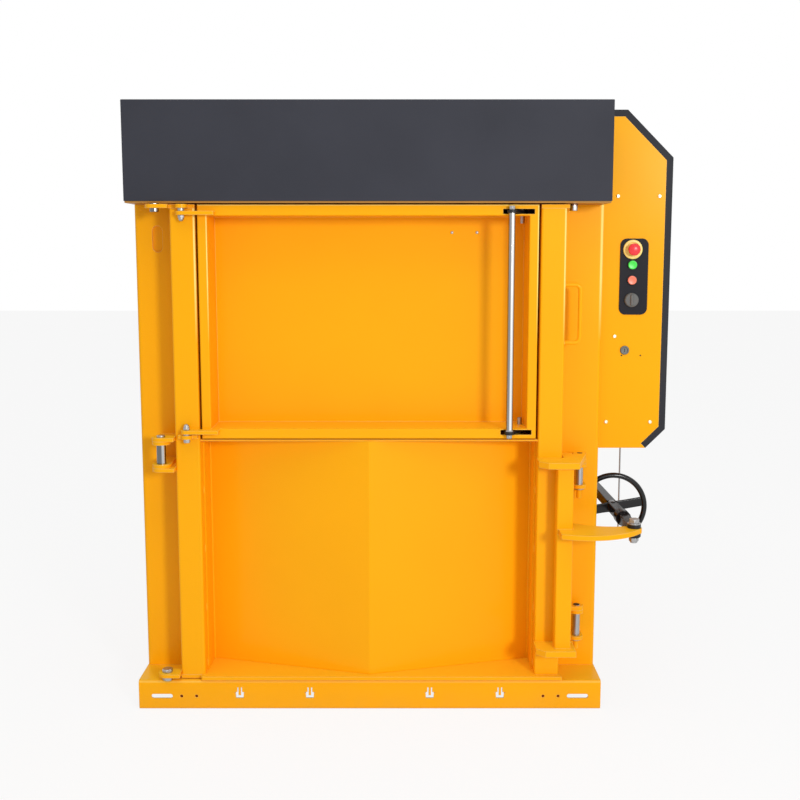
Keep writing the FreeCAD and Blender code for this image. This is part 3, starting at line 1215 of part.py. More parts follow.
def make_hood():
    """Hood: front panel, dark wrap-round sheet, body, brackets, screws and the power pack inside."""
    front = depth(HOOD_FRONT)
    back = depth(HOOD_BACK)
    sheet = HOOD_SHEET
    line = hood_corners()[::-1]
    panel_corners = [line[0]] + offset_line(line, HOOD_BAND) + [(HOOD_LEFT, HOOD_BOTTOM)]
    panel = profile("xz", [(u, v, 0) for u, v in panel_corners], front, front + sheet)
    rear = panel.copy()
    rear.translate(Vector(0, back - front - sheet, 0))
    control_holes = []
    for height, radius in control_bores():
        control_holes.append(across(CONTROL_X, height, HOOD_FRONT - 1, HOOD_FRONT + sheet + 1, radius))
    control_holes.append(across(LOCK_PLUG_X, LOCK_PLUG_HEIGHT, HOOD_FRONT - 1, HOOD_FRONT + sheet + 1,
                                LOCK_PLUG_SHANK + CURVED_GAP))
    front_panel = panel.cut(control_holes)

    rounded = [(u, v, sheet) for u, v in line[1:-1]]
    outline = [(*line[0], 0)] + rounded + [(*line[-1], 0), (HOOD_LEFT, HOOD_BOTTOM, 0)]
    wrap = joined([
        folded("xz", line, sheet, front, back, HOOD_FOLD),
        profile("xz", outline, front, front + sheet).cut(panel),
        profile("xz", outline, back - sheet, back).cut(rear),
    ])
    wrap = wrap.cut(vent_slots())
    body_line = [(HOOD_LEFT, HOOD_TOP - sheet), (HOOD_LEFT, HOOD_BOTTOM),
                 (HOOD_RIGHT - HOOD_LOW_CHAMFER - sheet, HOOD_BOTTOM)]
    body = joined([folded("xz", body_line, sheet, front + sheet, back - sheet, HOOD_FOLD), rear])

    rib_edge = CHAMBER_WIDTH / 2 + WALL_SHEET + RIB_REACH
    brackets = []
    for rib in RIB_HEIGHTS[2:]:
        low = rib + (RIB_TALL - HOOD_BRACKET) / 2
        for distance in HOOD_BRACKET_DEPTHS:
            brackets.append(box_tube("yz", (depth(distance), depth(distance + HOOD_BRACKET)),
                                     (low, low + HOOD_BRACKET), HOOD_BRACKET_WALL, HOOD_BRACKET_WALL,
                                     rib_edge, HOOD_LEFT))
    screws = []
    for inset, z in HOOD_SCREW_INSETS:
        head = across(HOOD_LEFT + inset, z, HOOD_FRONT - HOOD_SCREW_HEIGHT, HOOD_FRONT, HOOD_SCREW_RADIUS)
        edge = [edge for edge in head.Edges if edge.BoundBox.YMax < front - HOOD_SCREW_HEIGHT / 2]
        screws.append(head.makeFillet(HOOD_SCREW_HEIGHT / 2, edge))

    tank_left = HOOD_LEFT + sheet + HOOD_BAND / 2
    tank_front = front + TANK_SETBACK
    tank_bottom = HOOD_BOTTOM + sheet
    tank_top = tank_bottom + TANK_HEIGHT
    tank = block((tank_left, tank_left + TANK_WIDTH), (tank_front, tank_front + TANK_DEPTH),
                 (tank_bottom, tank_top))
    tank = tank.makeFillet(sheet * 3, [edge for edge in tank.Edges if edge.Length > TANK_HEIGHT - 1
                                       and edge.Length < TANK_HEIGHT + 1])
    motor_x = tank_left + TANK_WIDTH / 2
    motor_y = tank_front + TANK_DEPTH / 2
    rises = [
        (0, 0), (MOTOR_FLANGE, 0), (MOTOR_FLANGE, MOTOR_FOOT), (MOTOR_RADIUS - MOTOR_FOOT, MOTOR_NECK),
        (MOTOR_RADIUS, MOTOR_NECK + MOTOR_TAPER), (MOTOR_RADIUS, MOTOR_HEIGHT - MOTOR_COWL),
        (MOTOR_RADIUS + MOTOR_COWL_STEP, MOTOR_HEIGHT - MOTOR_COWL + MOTOR_COWL_STEP),
        (MOTOR_RADIUS + MOTOR_COWL_STEP, MOTOR_HEIGHT - MOTOR_CROWN),
        (MOTOR_RADIUS - MOTOR_TAPER, MOTOR_HEIGHT), (0, MOTOR_HEIGHT),
    ]
    outline = [Vector(motor_x + r, motor_y, tank_top + h) for r, h in rises]
    motor = Part.Face(Part.makePolygon(outline + outline[:1])).revolve(
        Vector(motor_x, motor_y, 0), Vector(0, 0, 1), 360)
    return {
        "hood_front_panel": front_panel,
        "hood_wrap": wrap,
        "hood_body": body,
        "hood_brackets": group(brackets),
        "hood_screws": group(screws),
        "power_pack": group([tank, motor]),
    }


def vent_slots():
    """Cutters for the rows of air slots in the hood's right side."""
    cutters = []
    round_off = VENT_HEIGHT * 0.499
    for front in VENT_DEPTHS:
        for row in range(VENT_ROWS):
            low = VENT_BOTTOM + row * VENT_PITCH
            corners = [
                (depth(front), low, round_off), (depth(front + VENT_LENGTH), low, round_off),
                (depth(front + VENT_LENGTH), low + VENT_HEIGHT, round_off),
                (depth(front), low + VENT_HEIGHT, round_off),
            ]
            cutters.append(profile("yz", corners, HOOD_RIGHT - 2 * HOOD_SHEET, HOOD_RIGHT + 1))
    return cutters


def control_bores():
    """Height and radius of each hole behind a control."""
    return (
        (STOP_HEIGHT, STOP_STEM_RADIUS + CURVED_GAP), (START_HEIGHT, BUTTON_RADIUS + CURVED_GAP),
        (RETURN_HEIGHT, BUTTON_RADIUS + CURVED_GAP), (SELECTOR_HEIGHT, SELECTOR_STEM_RADIUS + CURVED_GAP),
    )


def turned(x, z, rises, front):
    """Turned piece on an axis along the depth: radius and depth behind its front."""
    outline = [Vector(x + radius, depth(front + back), z) for radius, back in rises]
    face = Part.Face(Part.makePolygon(outline + outline[:1]))
    return face.revolve(Vector(x, 0, z), Vector(0, 1, 0), 360)


def make_controls():
    """Control plate with stop mushroom, two push buttons and selector, and the panel lock."""
    face = HOOD_FRONT - CONTROL_SHEET
    right = CONTROL_LEFT + CONTROL_WIDTH
    top = CONTROL_BOTTOM + CONTROL_HEIGHT
    corners = [(CONTROL_LEFT, CONTROL_BOTTOM, CONTROL_CORNER), (right, CONTROL_BOTTOM, CONTROL_CORNER),
               (right, top, CONTROL_CORNER), (CONTROL_LEFT, top, CONTROL_CORNER)]
    bores = [across(CONTROL_X, height, face - 1, HOOD_FRONT + 1, radius)
             for height, radius in control_bores()]
    plate = profile("xz", corners, depth(face), depth(HOOD_FRONT)).cut(bores)

    collar_front = face - STOP_COLLAR_SHEET
    stem_hole = STOP_STEM_RADIUS + CURVED_GAP
    collar = turned(CONTROL_X, STOP_HEIGHT, [
        (stem_hole, 0), (STOP_COLLAR_RADIUS - STOP_COLLAR_CHAMFER, 0),
        (STOP_COLLAR_RADIUS, STOP_COLLAR_CHAMFER),
        (STOP_COLLAR_RADIUS, STOP_COLLAR_SHEET), (stem_hole, STOP_COLLAR_SHEET),
    ], collar_front)
    cap_front = collar_front - STOP_STANDOFF - STOP_CAP_HEIGHT
    back = HOOD_FRONT + STEM_REACH - cap_front
    stop = turned(CONTROL_X, STOP_HEIGHT, [
        (0, 0), (STOP_CAP_RADIUS * 0.6, STOP_CAP_CROWN), (STOP_CAP_RADIUS * 0.9, STOP_CAP_SHOULDER),
        (STOP_CAP_RADIUS, STOP_CAP_BELLY), (STOP_CAP_RADIUS - STOP_CAP_LIP, STOP_CAP_HEIGHT),
        (STOP_STEM_RADIUS, STOP_CAP_HEIGHT + STOP_CAP_LIP),
        (STOP_STEM_RADIUS, back), (0, back),
    ], cap_front)

    bezels = []
    buttons = []
    hole = BUTTON_RADIUS + CURVED_GAP
    bezel_front = face - BEZEL_SHEET
    button_front = bezel_front - BUTTON_PROUD
    button_back = HOOD_FRONT + STEM_REACH - button_front
    for height in (START_HEIGHT, RETURN_HEIGHT):
        bezels.append(turned(CONTROL_X, height, [
            (hole, 0), (BEZEL_RADIUS - 1.5, 0), (BEZEL_RADIUS, 1.5), (BEZEL_RADIUS, BEZEL_SHEET),
            (hole, BEZEL_SHEET),
        ], bezel_front))
        buttons.append(turned(CONTROL_X, height, [
            (0, 0), (BUTTON_RADIUS - 1, 0), (BUTTON_RADIUS, 1), (BUTTON_RADIUS, button_back),
            (0, button_back),
        ], button_front))

    knob_front = face - SEAT_GAP - SELECTOR_DEPTH
    knob_back = HOOD_FRONT + STEM_REACH - knob_front
    knob = turned(CONTROL_X, SELECTOR_HEIGHT, [
        (0, 0), (SELECTOR_RADIUS - 2, 0), (SELECTOR_RADIUS, 2), (SELECTOR_RADIUS, SELECTOR_DEPTH),
        (SELECTOR_STEM_RADIUS, SELECTOR_DEPTH), (SELECTOR_STEM_RADIUS, knob_back), (0, knob_back),
    ], knob_front)
    grip = block((CONTROL_X - SELECTOR_GRIP / 2, CONTROL_X + SELECTOR_GRIP / 2),
                 (depth(knob_front - SELECTOR_GRIP_PROUD), depth(knob_front + 1)),
                 (SELECTOR_HEIGHT - SELECTOR_RADIUS * 0.8, SELECTOR_HEIGHT + SELECTOR_RADIUS * 0.8))

    plug_back = HOOD_FRONT - SEAT_GAP
    plug = turned(LOCK_PLUG_X, LOCK_PLUG_HEIGHT, [
        (0, 0), (LOCK_PLUG_RADIUS - 1, 0), (LOCK_PLUG_RADIUS, 1), (LOCK_PLUG_RADIUS, LOCK_PLUG_PROUD),
        (LOCK_PLUG_SHANK, LOCK_PLUG_PROUD), (LOCK_PLUG_SHANK, LOCK_PLUG_PROUD + STEM_REACH),
        (0, LOCK_PLUG_PROUD + STEM_REACH),
    ], plug_back - LOCK_PLUG_PROUD)
    cam_front = plug_back + STEM_REACH
    cam = block((LOCK_PLUG_X - LOCK_CAM_WIDTH / 2, LOCK_PLUG_X + LOCK_CAM_WIDTH / 2),
                (depth(cam_front), depth(cam_front + LOCK_CAM_SHEET)),
                (LOCK_PLUG_HEIGHT - LOCK_CAM_WIDTH / 2, LOCK_PLUG_HEIGHT + LOCK_CAM_LENGTH))
    slot = block((LOCK_PLUG_X - 1.5, LOCK_PLUG_X + 1.5),
                 (depth(plug_back - LOCK_PLUG_PROUD - 1), depth(plug_back - LOCK_PLUG_PROUD + 2)),
                 (LOCK_PLUG_HEIGHT - LOCK_PLUG_RADIUS * 0.7, LOCK_PLUG_HEIGHT + LOCK_PLUG_RADIUS * 0.7))
    return {
        "control_plate": plate,
        "stop_collar": collar,
        "stop_button": stop,
        "button_bezels": group(bezels),
        "start_button": buttons[0],
        "return_button": buttons[1],
        "selector_knob": joined([knob, grip]),
        "panel_lock": joined([plug, cam]).cut(slot),
    }


def cylinder_line(shape, side, distance):
    """Move a piece from the origin, made along X, onto one cylinder's line."""
    drop = CYLINDER_FRAME_Z - CYLINDER_PLATEN_Z
    span = CYLINDER_FRAME_X + CYLINDER_PLATEN_X
    moved = shape.copy()
    moved.rotate(Vector(0, 0, 0), Vector(0, 1, 0), math.degrees(math.atan2(drop, span)))
    moved.translate(Vector(-CYLINDER_FRAME_X, depth(distance), CYLINDER_FRAME_Z))
    return mirrored(moved) if side > 0 else moved


def eye(x, width, radius, hole):
    """Round eye on an axis along the depth, at a place on a cylinder's line."""
    ring = bar(Vector(x, -width / 2, 0), Vector(x, width / 2, 0), radius)
    return ring.cut(bar(Vector(x, -width, 0), Vector(x, width, 0), hole))


def make_press():
    """Platen and the two crossed cylinders that drive it, with their frame lugs."""
    half = CHAMBER_WIDTH / 2 - PLATEN_GAP
    low = PLATEN_BOTTOM
    high = PLATEN_BOTTOM + PLATEN_SHEET
    sole_line = [(-half, high), (-half, low)]
    for x in strap_places():
        sole_line += groove_line(x, low, low + STRAP_GROOVE_DEPTH)
    sole_line += [(half, low), (half, high)]
    pieces = [
        folded("xz", sole_line, PLATEN_SOLE, depth(PLATEN_FRONT), depth(PLATEN_BACK)),
        block((-half, half), (depth(PLATEN_FRONT), depth(PLATEN_BACK)), (high, high + PLATEN_SOLE)),
    ]
    high += PLATEN_SOLE
    for start in PLATEN_RIB_DEPTHS:
        pieces.append(block((-half, half), (depth(start), depth(start + PLATEN_RIB_WIDTH)),
                            (high, high + PLATEN_RIB_HEIGHT)))
    lug_gap = CYLINDER_EYE_WIDTH / 2 + SEAT_GAP
    lug_top = CYLINDER_PLATEN_Z + LUG_RISE
    for side, distance in ((1, CYLINDER_DEPTHS[0]), (-1, CYLINDER_DEPTHS[1])):
        for hand in (-1, 1):
            near, far = sorted((hand * lug_gap, hand * (lug_gap + LUG_SHEET)))
            middle = side * (CYLINDER_PLATEN_X + LUG_RISE / 2)
            outline = [(middle - LUG_LENGTH / 2, high, 0), (middle + LUG_LENGTH / 2, high, 0),
                       (middle + LUG_LENGTH / 2, lug_top, LUG_RISE),
                       (middle - LUG_LENGTH / 2, lug_top, LUG_RISE)]
            pieces.append(profile("xz", outline, depth(distance) + near, depth(distance) + far))
    platen = joined(pieces)

    length = math.hypot(CYLINDER_FRAME_X + CYLINDER_PLATEN_X, CYLINDER_FRAME_Z - CYLINDER_PLATEN_Z)
    end = CYLINDER_START + CYLINDER_LENGTH
    tube = bar(Vector(CYLINDER_START, 0, 0), Vector(end, 0, 0), CYLINDER_RADIUS)
    bore = bar(Vector(CYLINDER_START + CYLINDER_CAP, 0, 0), Vector(end - CYLINDER_CAP, 0, 0), CYLINDER_BORE)
    gland = bar(Vector(end - 2 * CYLINDER_CAP, 0, 0), Vector(end + 1, 0, 0),
                CYLINDER_ROD_RADIUS + RUNNING_GAP)
    neck = bar(Vector(0, 0, 0), Vector(CYLINDER_START, 0, 0), CYLINDER_EYE_WIDTH / 2)
    pin_hole = CYLINDER_PIN_RADIUS + RUNNING_GAP
    frame_hole = bar(Vector(0, -CYLINDER_RADIUS, 0), Vector(0, CYLINDER_RADIUS, 0), pin_hole)
    barrel = joined([tube.cut([bore, gland]), neck,
                     eye(0, CYLINDER_EYE_WIDTH, CYLINDER_EYE_RADIUS, pin_hole)]).cut(frame_hole)
    piston_start = CYLINDER_START + CYLINDER_CAP + PISTON_LENGTH / 2
    rod_eye_hole = bar(Vector(length, -CYLINDER_RADIUS, 0), Vector(length, CYLINDER_RADIUS, 0),
                       CYLINDER_PIN_RADIUS)
    rod = joined([
        bar(Vector(piston_start, 0, 0), Vector(length, 0, 0), CYLINDER_ROD_RADIUS),
        bar(Vector(piston_start, 0, 0), Vector(piston_start + PISTON_LENGTH, 0, 0),
            CYLINDER_BORE - RUNNING_GAP),
        eye(length, CYLINDER_EYE_WIDTH, CYLINDER_EYE_RADIUS, CYLINDER_PIN_RADIUS),
    ]).cut(rod_eye_hole)

    nodes = {"platen": platen}
    lugs = []
    wall = CHAMBER_WIDTH / 2
    for name, side, distance in (("front", -1, CYLINDER_DEPTHS[0]), ("rear", 1, CYLINDER_DEPTHS[1])):
        nodes[name + "_cylinder"] = cylinder_line(barrel, side, distance)
        nodes[name + "_piston_rod"] = cylinder_line(rod, side, distance)
        middle = side * CYLINDER_FRAME_X
        for hand in (-1, 1):
            near, far = sorted((hand * lug_gap, hand * (lug_gap + LUG_SHEET)))
            inner = middle - side * CYLINDER_EYE_RADIUS
            span = sorted((inner, side * wall))
            lugs.append(block(span, (depth(distance) + near, depth(distance) + far),
                              (CYLINDER_FRAME_Z - CYLINDER_EYE_RADIUS,
                               CYLINDER_FRAME_Z + CYLINDER_EYE_RADIUS)))
        lugs.append(bar(Vector(middle, depth(distance) - lug_gap, CYLINDER_FRAME_Z),
                        Vector(middle, depth(distance) + lug_gap, CYLINDER_FRAME_Z), CYLINDER_PIN_RADIUS))
    nodes["cylinder_lugs"] = group(lugs)
    return nodes


def main():
    """Build every piece and write one STEP file for each."""
    os.makedirs("parts", exist_ok=True)
    makers = (make_base, make_chamber, make_portal, make_cover, make_door, make_hinges, make_hatch,
              make_latch, make_lock, make_strut, make_hood, make_controls, make_press)
    count = 0
    for maker in makers:
        for name, shape in maker().items():
            if not shape.isValid():
                print("not valid:", name)
            shape.exportStep(os.path.join("parts", name + ".step"))
            count += 1
    print(count, "pieces written")


main()
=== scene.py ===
"""Looks of a recycling baler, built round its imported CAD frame.

The sizes of the machine's pieces are in millimetres, and their places are (x, depth, z): x to the
right of the machine's middle, depth behind the front face of the base, z above the floor. A
piece's points become metres in the frame's own axes when its mesh is made. The lengths of the
finishes and of the studio are in metres.
"""

import logging
import math
from dataclasses import dataclass, replace
from enum import Enum
from typing import Sequence

import bmesh
import bpy
import numpy as np
from mathutils import Euler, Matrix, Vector

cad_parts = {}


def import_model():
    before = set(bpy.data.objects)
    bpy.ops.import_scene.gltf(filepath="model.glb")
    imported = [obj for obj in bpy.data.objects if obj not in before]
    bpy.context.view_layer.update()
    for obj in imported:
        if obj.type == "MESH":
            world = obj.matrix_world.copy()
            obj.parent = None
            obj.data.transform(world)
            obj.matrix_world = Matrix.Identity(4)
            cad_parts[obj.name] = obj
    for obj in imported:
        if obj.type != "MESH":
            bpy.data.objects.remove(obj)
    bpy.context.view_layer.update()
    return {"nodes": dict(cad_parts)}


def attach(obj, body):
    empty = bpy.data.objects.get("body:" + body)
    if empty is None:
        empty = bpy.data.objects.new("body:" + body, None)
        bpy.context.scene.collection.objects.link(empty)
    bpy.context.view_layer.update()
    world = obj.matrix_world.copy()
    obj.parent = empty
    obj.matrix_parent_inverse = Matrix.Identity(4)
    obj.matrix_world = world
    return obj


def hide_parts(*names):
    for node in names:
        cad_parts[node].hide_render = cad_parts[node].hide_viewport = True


log = logging.getLogger("baler")

Place = tuple[float, float, float]
Colour = tuple[float, float, float]
Span = tuple[float, float]
Outline = Sequence[tuple[float, ...]]
Socket = bpy.types.NodeSocket

HALF_DEPTH = 520.0
MM = 0.001
WELD_DISTANCE = 2e-6
WHITE = (1.0, 1.0, 1.0, 1.0)


class Axis(Enum):
    """Direction that a turned piece stands along."""

    X = (1.0, 0.0, 0.0)
    DEPTH = (0.0, 1.0, 0.0)
    Z = (0.0, 0.0, 1.0)

    @property
    def vector(self) -> np.ndarray:
        """Unit vector of the direction."""
        return np.array(self.value)


RIGHT, BACK, UP = Axis.X.vector, Axis.DEPTH.vector, Axis.Z.vector
FRONT, DOWN = -BACK, -UP


class Body(Enum):
    """Body that a piece rides on."""

    FRAME = "frame"
    HATCH = "hatch"
    LATCH = "latch"
    LOCK = "door_lock"
    WHEEL = "wheel"
    STOP = "stop"
    START = "start"
    RETURN = "return"
    SELECTOR = "selector"
    KEY = "panel_key"


def put_in_scene(name: str, data: bpy.types.ID) -> bpy.types.Object:
    """New object of the scene, at the origin.

    Args:
        name: name of the object.
        data: its mesh, lamp or camera.

    Returns:
        The object.
    """
    holder = bpy.data.objects.new(name, data)
    bpy.context.scene.collection.objects.link(holder)
    return holder


# Finishes -----------------------------------------------------------------------------------


class NodeBench:
    """Adds nodes to one tree, with each input given as a value or as another node's output."""

    def __init__(self, owner: bpy.types.Material | bpy.types.World) -> None:
        """Turns the owner's nodes on.

        Args:
            owner: material or world whose tree the nodes go into.
        """
        owner.use_nodes = True
        self.owner = owner
        self.tree = owner.node_tree

    def add(self, kind: str, settings: dict[str, object] | None = None,
            **inputs: object) -> bpy.types.Node:
        """Adds a node.

        Args:
            kind: Blender's name of the node's type, without its ShaderNode prefix.
            settings: the node's own properties.
            inputs: socket values or outputs to link; an underscore stands for a space, and one
                in front for the socket's number.

        Returns:
            The node.
        """
        node = self.tree.nodes.new("ShaderNode" + kind)
        for key, value in (settings or {}).items():
            setattr(node, key, value)
        for key, value in inputs.items():
            socket = node.inputs[int(key[1:]) if key[0] == "_" else key.replace("_", " ")]
            if isinstance(value, Socket):
                self.tree.links.new(value, socket)
            else:
                socket.default_value = value
        return node

    def math(self, operation: str, *terms: object, clamp: bool = False) -> Socket:
        """Result of a sum on one, two or three terms.

        Args:
            operation: name of the operation.
            terms: numbers or outputs.
            clamp: whether the result is kept between 0 and 1.

        Returns:
            The output that holds the result.
        """
        inputs = {f"_{index}": term for index, term in enumerate(terms)}
        settings = {"operation": operation, "use_clamp": clamp}
        return self.add("Math", settings, **inputs).outputs[0]

    def dot(self, first: object, second: object) -> Socket:
        """Dot product of two vectors."""
        node = self.add("VectorMath", {"operation": "DOT_PRODUCT"}, _0=first, _1=second)
        return node.outputs["Value"]

    def ramp(self, value: object, start: float, end: float, top: float = 1.0) -> Socket:
        """Share that goes from 0 at one value to its top at another, and stays there past both.

        Args:
            value: output that it follows.
            start: value where the share is 0.
            end: value where the share is at its top.
            top: highest share.

        Returns:
            The output that holds the share.
        """
        return self.add("MapRange", Value=value, From_Min=start, From_Max=end,
                        To_Max=top).outputs[0]

    def blend(self, share: object, first: object, second: object) -> Socket:
        """Mix of two colours.

        Args:
            share: how much of the second one, from 0 to 1.
            first: colour or output.
            second: colour or output.

        Returns:
            The output that holds the mixed colour.
        """
        node = self.add("Mix", {"data_type": "RGBA"}, _0=share, _6=first, _7=second)
        return node.outputs[2]

    def noise(self, scale: float, detail: float, stretch: Place = (1.0, 1.0, 1.0)) -> Socket:
        """Noise on the piece's own coordinates.

        Args:
            scale: grains per metre.
            detail: number of finer layers.
            stretch: how many times finer the noise is along each axis.

        Returns:
            The output with values about 0.5.
        """
        place = self.add("TexCoord").outputs["Object"]
        spread = self.add("Mapping", Vector=place, Scale=stretch).outputs[0]
        return self.add("TexNoise", Vector=spread, Scale=scale, Detail=detail).outputs[0]


def material_bench(name: str) -> NodeBench:
    """Bench of a new material with an empty tree.

    Args:
        name: name of the material.

    Returns:
        The bench.
    """
    bench = NodeBench(bpy.data.materials.new(name))
    bench.tree.nodes.clear()
    return bench


def shade(colour: Colour, factor: float) -> tuple[float, float, float, float]:
    """Colour made lighter or darker, with an opaque alpha."""
    return (*(min(1.0, channel * factor) for channel in colour), 1.0)


@dataclass(frozen=True)
class Finish:
    """Surface of one kind: colour, gloss, fine grain, and edges paled partly as worn coat and
    partly as a painted highlight.
    """

    name: str
    slot: str
    colour: Colour
    roughness: float = 0.4
    roughness_swing: float = 0.06
    swing_scale: float = 9.0
    metallic: float = 0.0
    specular: float = 0.25
    coat: float = 0.0
    coat_roughness: float = 0.2
    grain: float = 420.0
    grain_depth: float = 0.00003
    grain_detail: float = 3.0
    grain_stretch: Place = (1.0, 1.0, 1.0)
    mottle: float = 0.04
    mottle_scale: float = 3.0
    mottle_detail: float = 4.0
    mottle_range: Span = (0.3, 0.7)
    edge: float = 0.0016
    edge_wear_and_highlight_tone: float = 1.12
    edge_highlight_pale: float = 0.0
    edge_wear_and_highlight_share: float = 0.6
    edge_facing: Span = (0.99, 0.8)
    edge_samples: int = 6

    def colour_output(self, bench: NodeBench, edges: Socket) -> Socket:
        """Base colour: a slow drift between two tones, a little lighter along the edges as worn
        coat and a painted highlight.

        Args:
            bench: the material's nodes.
            edges: output that is 1 along edges and 0 on flats.

        Returns:
            The colour output.
        """
        drift = bench.ramp(bench.noise(self.mottle_scale, self.mottle_detail), *self.mottle_range)
        dark, light = (shade(self.colour, 1 + side * self.mottle) for side in (-1, 1))
        flat = bench.blend(drift, dark, light)
        # Edge paling: partly worn coat, partly a painted highlight standing in for light caught by
        # rounded edges.
        share = bench.math("MULTIPLY", edges, self.edge_wear_and_highlight_share)
        pale = tuple(channel + (1.0 - channel) * self.edge_highlight_pale for channel in self.colour)
        return bench.blend(share, flat, shade(pale, self.edge_wear_and_highlight_tone))

    def material(self) -> bpy.types.Material:
        """The node material, made once for each finish.

        Returns:
            The material.
        """
        known = bpy.data.materials.get(self.name)
        if known is not None:
            return known
        bench = material_bench(self.name)
        rounded = bench.add("Bevel", {"samples": self.edge_samples}, Radius=self.edge).outputs[0]
        facing = bench.dot(rounded, bench.add("NewGeometry").outputs["True Normal"])
        edges = bench.ramp(facing, *self.edge_facing)
        relief = bench.add("Bump", Strength=1.0, Distance=self.grain_depth, Normal=rounded,
                           Height=bench.noise(self.grain, self.grain_detail, self.grain_stretch))
        swing = bench.math("MULTIPLY_ADD", bench.noise(self.swing_scale, self.grain_detail),
                           self.roughness_swing, self.roughness - self.roughness_swing / 2)
        shader = bench.add("BsdfPrincipled", Base_Color=self.colour_output(bench, edges),
                           Roughness=swing, Normal=relief.outputs[0], Metallic=self.metallic,
                           Specular_IOR_Level=self.specular, Coat_Weight=self.coat,
                           Coat_Roughness=self.coat_roughness)
        bench.add("OutputMaterial", Surface=shader.outputs[0])
        return bench.owner


@dataclass(frozen=True)
class PowderCoat(Finish):
    """Baked powder on sheet steel, with the soft dimples of the cured coat."""

    # painted_top_light_* paints light on level tops: a paler, yellower tone where the face points
    # up.
    painted_top_light_share: float = 0.0
    painted_top_light_tone: Colour = (1.0, 0.68, 0.03)
    painted_top_light_slope: Span = (0.9, 0.98)
    # fold_highlight_* paints a highlight on folds turned right and to the front, fading in with
    # height.
    fold_highlight_share: float = 0.0
    fold_highlight_tone: Colour = (1.0, 0.8, 0.22)
    fold_highlight_side: Place = (0.6, -0.64, 0.48)
    fold_highlight_facing: Span = (0.7, 0.8)
    fold_highlight_rise: Span = (-1.0, 0.0)
    dust_share: float = 0.16
    dust_tone: Colour = (0.25, 0.19, 0.12)
    dust_fall: Span = (0.09, 0.0)
    dust_scale: float = 14.0
    dust_detail: float = 5.0

    def colour_output(self, bench: NodeBench, edges: Socket) -> Socket:
        """Drift of tone, paled edges, a painted highlight on folds, painted light on level tops and
        dust near the floor.

        Args:
            bench: the material's nodes.
            edges: output that is 1 along edges and 0 on flats.

        Returns:
            The colour output.
        """
        clean = super().colour_output(bench, edges)
        spot = bench.add("TexCoord").outputs
        height = bench.add("SeparateXYZ", Vector=spot["Object"]).outputs[2]
        # Painted highlight: folds facing fold_highlight_side get a pale tone, scaled by height.
        if self.fold_highlight_share > 0.0:
            turned = bench.dot(spot["Normal"], self.fold_highlight_side)
            fold = bench.ramp(turned, *self.fold_highlight_facing, self.fold_highlight_share)
            share = bench.math("MULTIPLY", fold, bench.ramp(height, *self.fold_highlight_rise))
            clean = bench.blend(share, clean, (*self.fold_highlight_tone, 1.0))
        # Painted light: level tops get a paler tone, as if more light fell on them.
        if self.painted_top_light_share > 0.0:
            slope = bench.add("SeparateXYZ", Vector=spot["Normal"]).outputs[2]
            level = bench.ramp(slope, *self.painted_top_light_slope, self.painted_top_light_share)
            clean = bench.blend(level, clean, (*self.painted_top_light_tone, 1.0))
        low = bench.ramp(height, *self.dust_fall, self.dust_share)
        dust = bench.math("MULTIPLY", low, bench.noise(self.dust_scale, self.dust_detail))
        return bench.blend(dust, clean, (*self.dust_tone, 1.0))


@dataclass(frozen=True)
class GlazedMetal(Finish):
    """Bare or plated metal: brushed, turned or polished."""

    metallic: float = 1.0
    specular: float = 0.5
    edge_wear_and_highlight_tone: float = 1.05
    # reflection_band_* paints a reflection: a pale band on faces turned one fixed way.
    reflection_band_share: float = 0.0
    reflection_band_side: Place = (0.22, -0.975, 0.0)
    reflection_band_facing: Span = (0.88, 0.985)
    reflection_band_tone: Colour = (1.0, 0.98, 0.96)

    def colour_output(self, bench: NodeBench, edges: Socket) -> Socket:
        """Metal's tone, with a painted reflection: a lighter band along one side of a polished rod.

        Args:
            bench: the material's nodes.
            edges: output that is 1 along edges and 0 on flats.

        Returns:
            The colour output.
        """
        plain = super().colour_output(bench, edges)
        if self.reflection_band_share <= 0.0:
            return plain
        # Painted reflection: faces turned towards reflection_band_side get a pale band.
        turned = bench.dot(bench.add("TexCoord").outputs["Normal"], self.reflection_band_side)
        band = bench.ramp(turned, *self.reflection_band_facing, self.reflection_band_share)
        return bench.blend(band, plain, (*self.reflection_band_tone, 1.0))


@dataclass(frozen=True)
class Moulded(Finish):
    """Moulded plastic with the fine spark texture or the gloss of its mould."""

    mottle: float = 0.02
    grain: float = 1500.0
    grain_depth: float = 0.00002
    edge: float = 0.0006


# The orange coat paints light on level tops, and pales its edges as wear plus a painted highlight.
ORANGE = PowderCoat(
    "orange_powder_coat", "orange_paint", (0.985, 0.432, 0.004), roughness=0.42, specular=0.04,
    coat=0.14, mottle=0.02, edge=0.003, edge_wear_and_highlight_tone=1.25, edge_highlight_pale=0.18, edge_wear_and_highlight_share=0.8,
    painted_top_light_share=0.5)
# Painted highlight on the folds of the stiles, posts and tray, fading in above 1.22 m.
FOLD_HIGHLIGHT_ORANGE = replace(ORANGE, name="orange_coat_painted_fold_highlight", fold_highlight_share=0.95,
                        fold_highlight_rise=(1.22, 1.42))
PANEL_ORANGE = replace(ORANGE, name="panel_orange_coat", edge_wear_and_highlight_share=0.0)
HOOD_ORANGE = replace(ORANGE, name="hood_orange_coat", coat=0.06)
# The base gets a weaker painted fold highlight at every height.
BASE_ORANGE = replace(ORANGE, name="base_orange_coat", fold_highlight_share=0.3)
# The header plate's orange is darkened to brown: painted shade from the cover that overhangs it.
HEADER_PAINTED_SHADE_ORANGE = replace(ORANGE, name="header_plate_painted_shade_coat", colour=(0.46, 0.22, 0.05),
                     edge_highlight_pale=0.0, painted_top_light_share=0.0)
SHADED_ORANGE = PowderCoat("shaded_orange_coat", "orange_paint", (0.21, 0.032, 0.001),
                           roughness=0.6, specular=0.04, mottle=0.1, edge=0.0006)
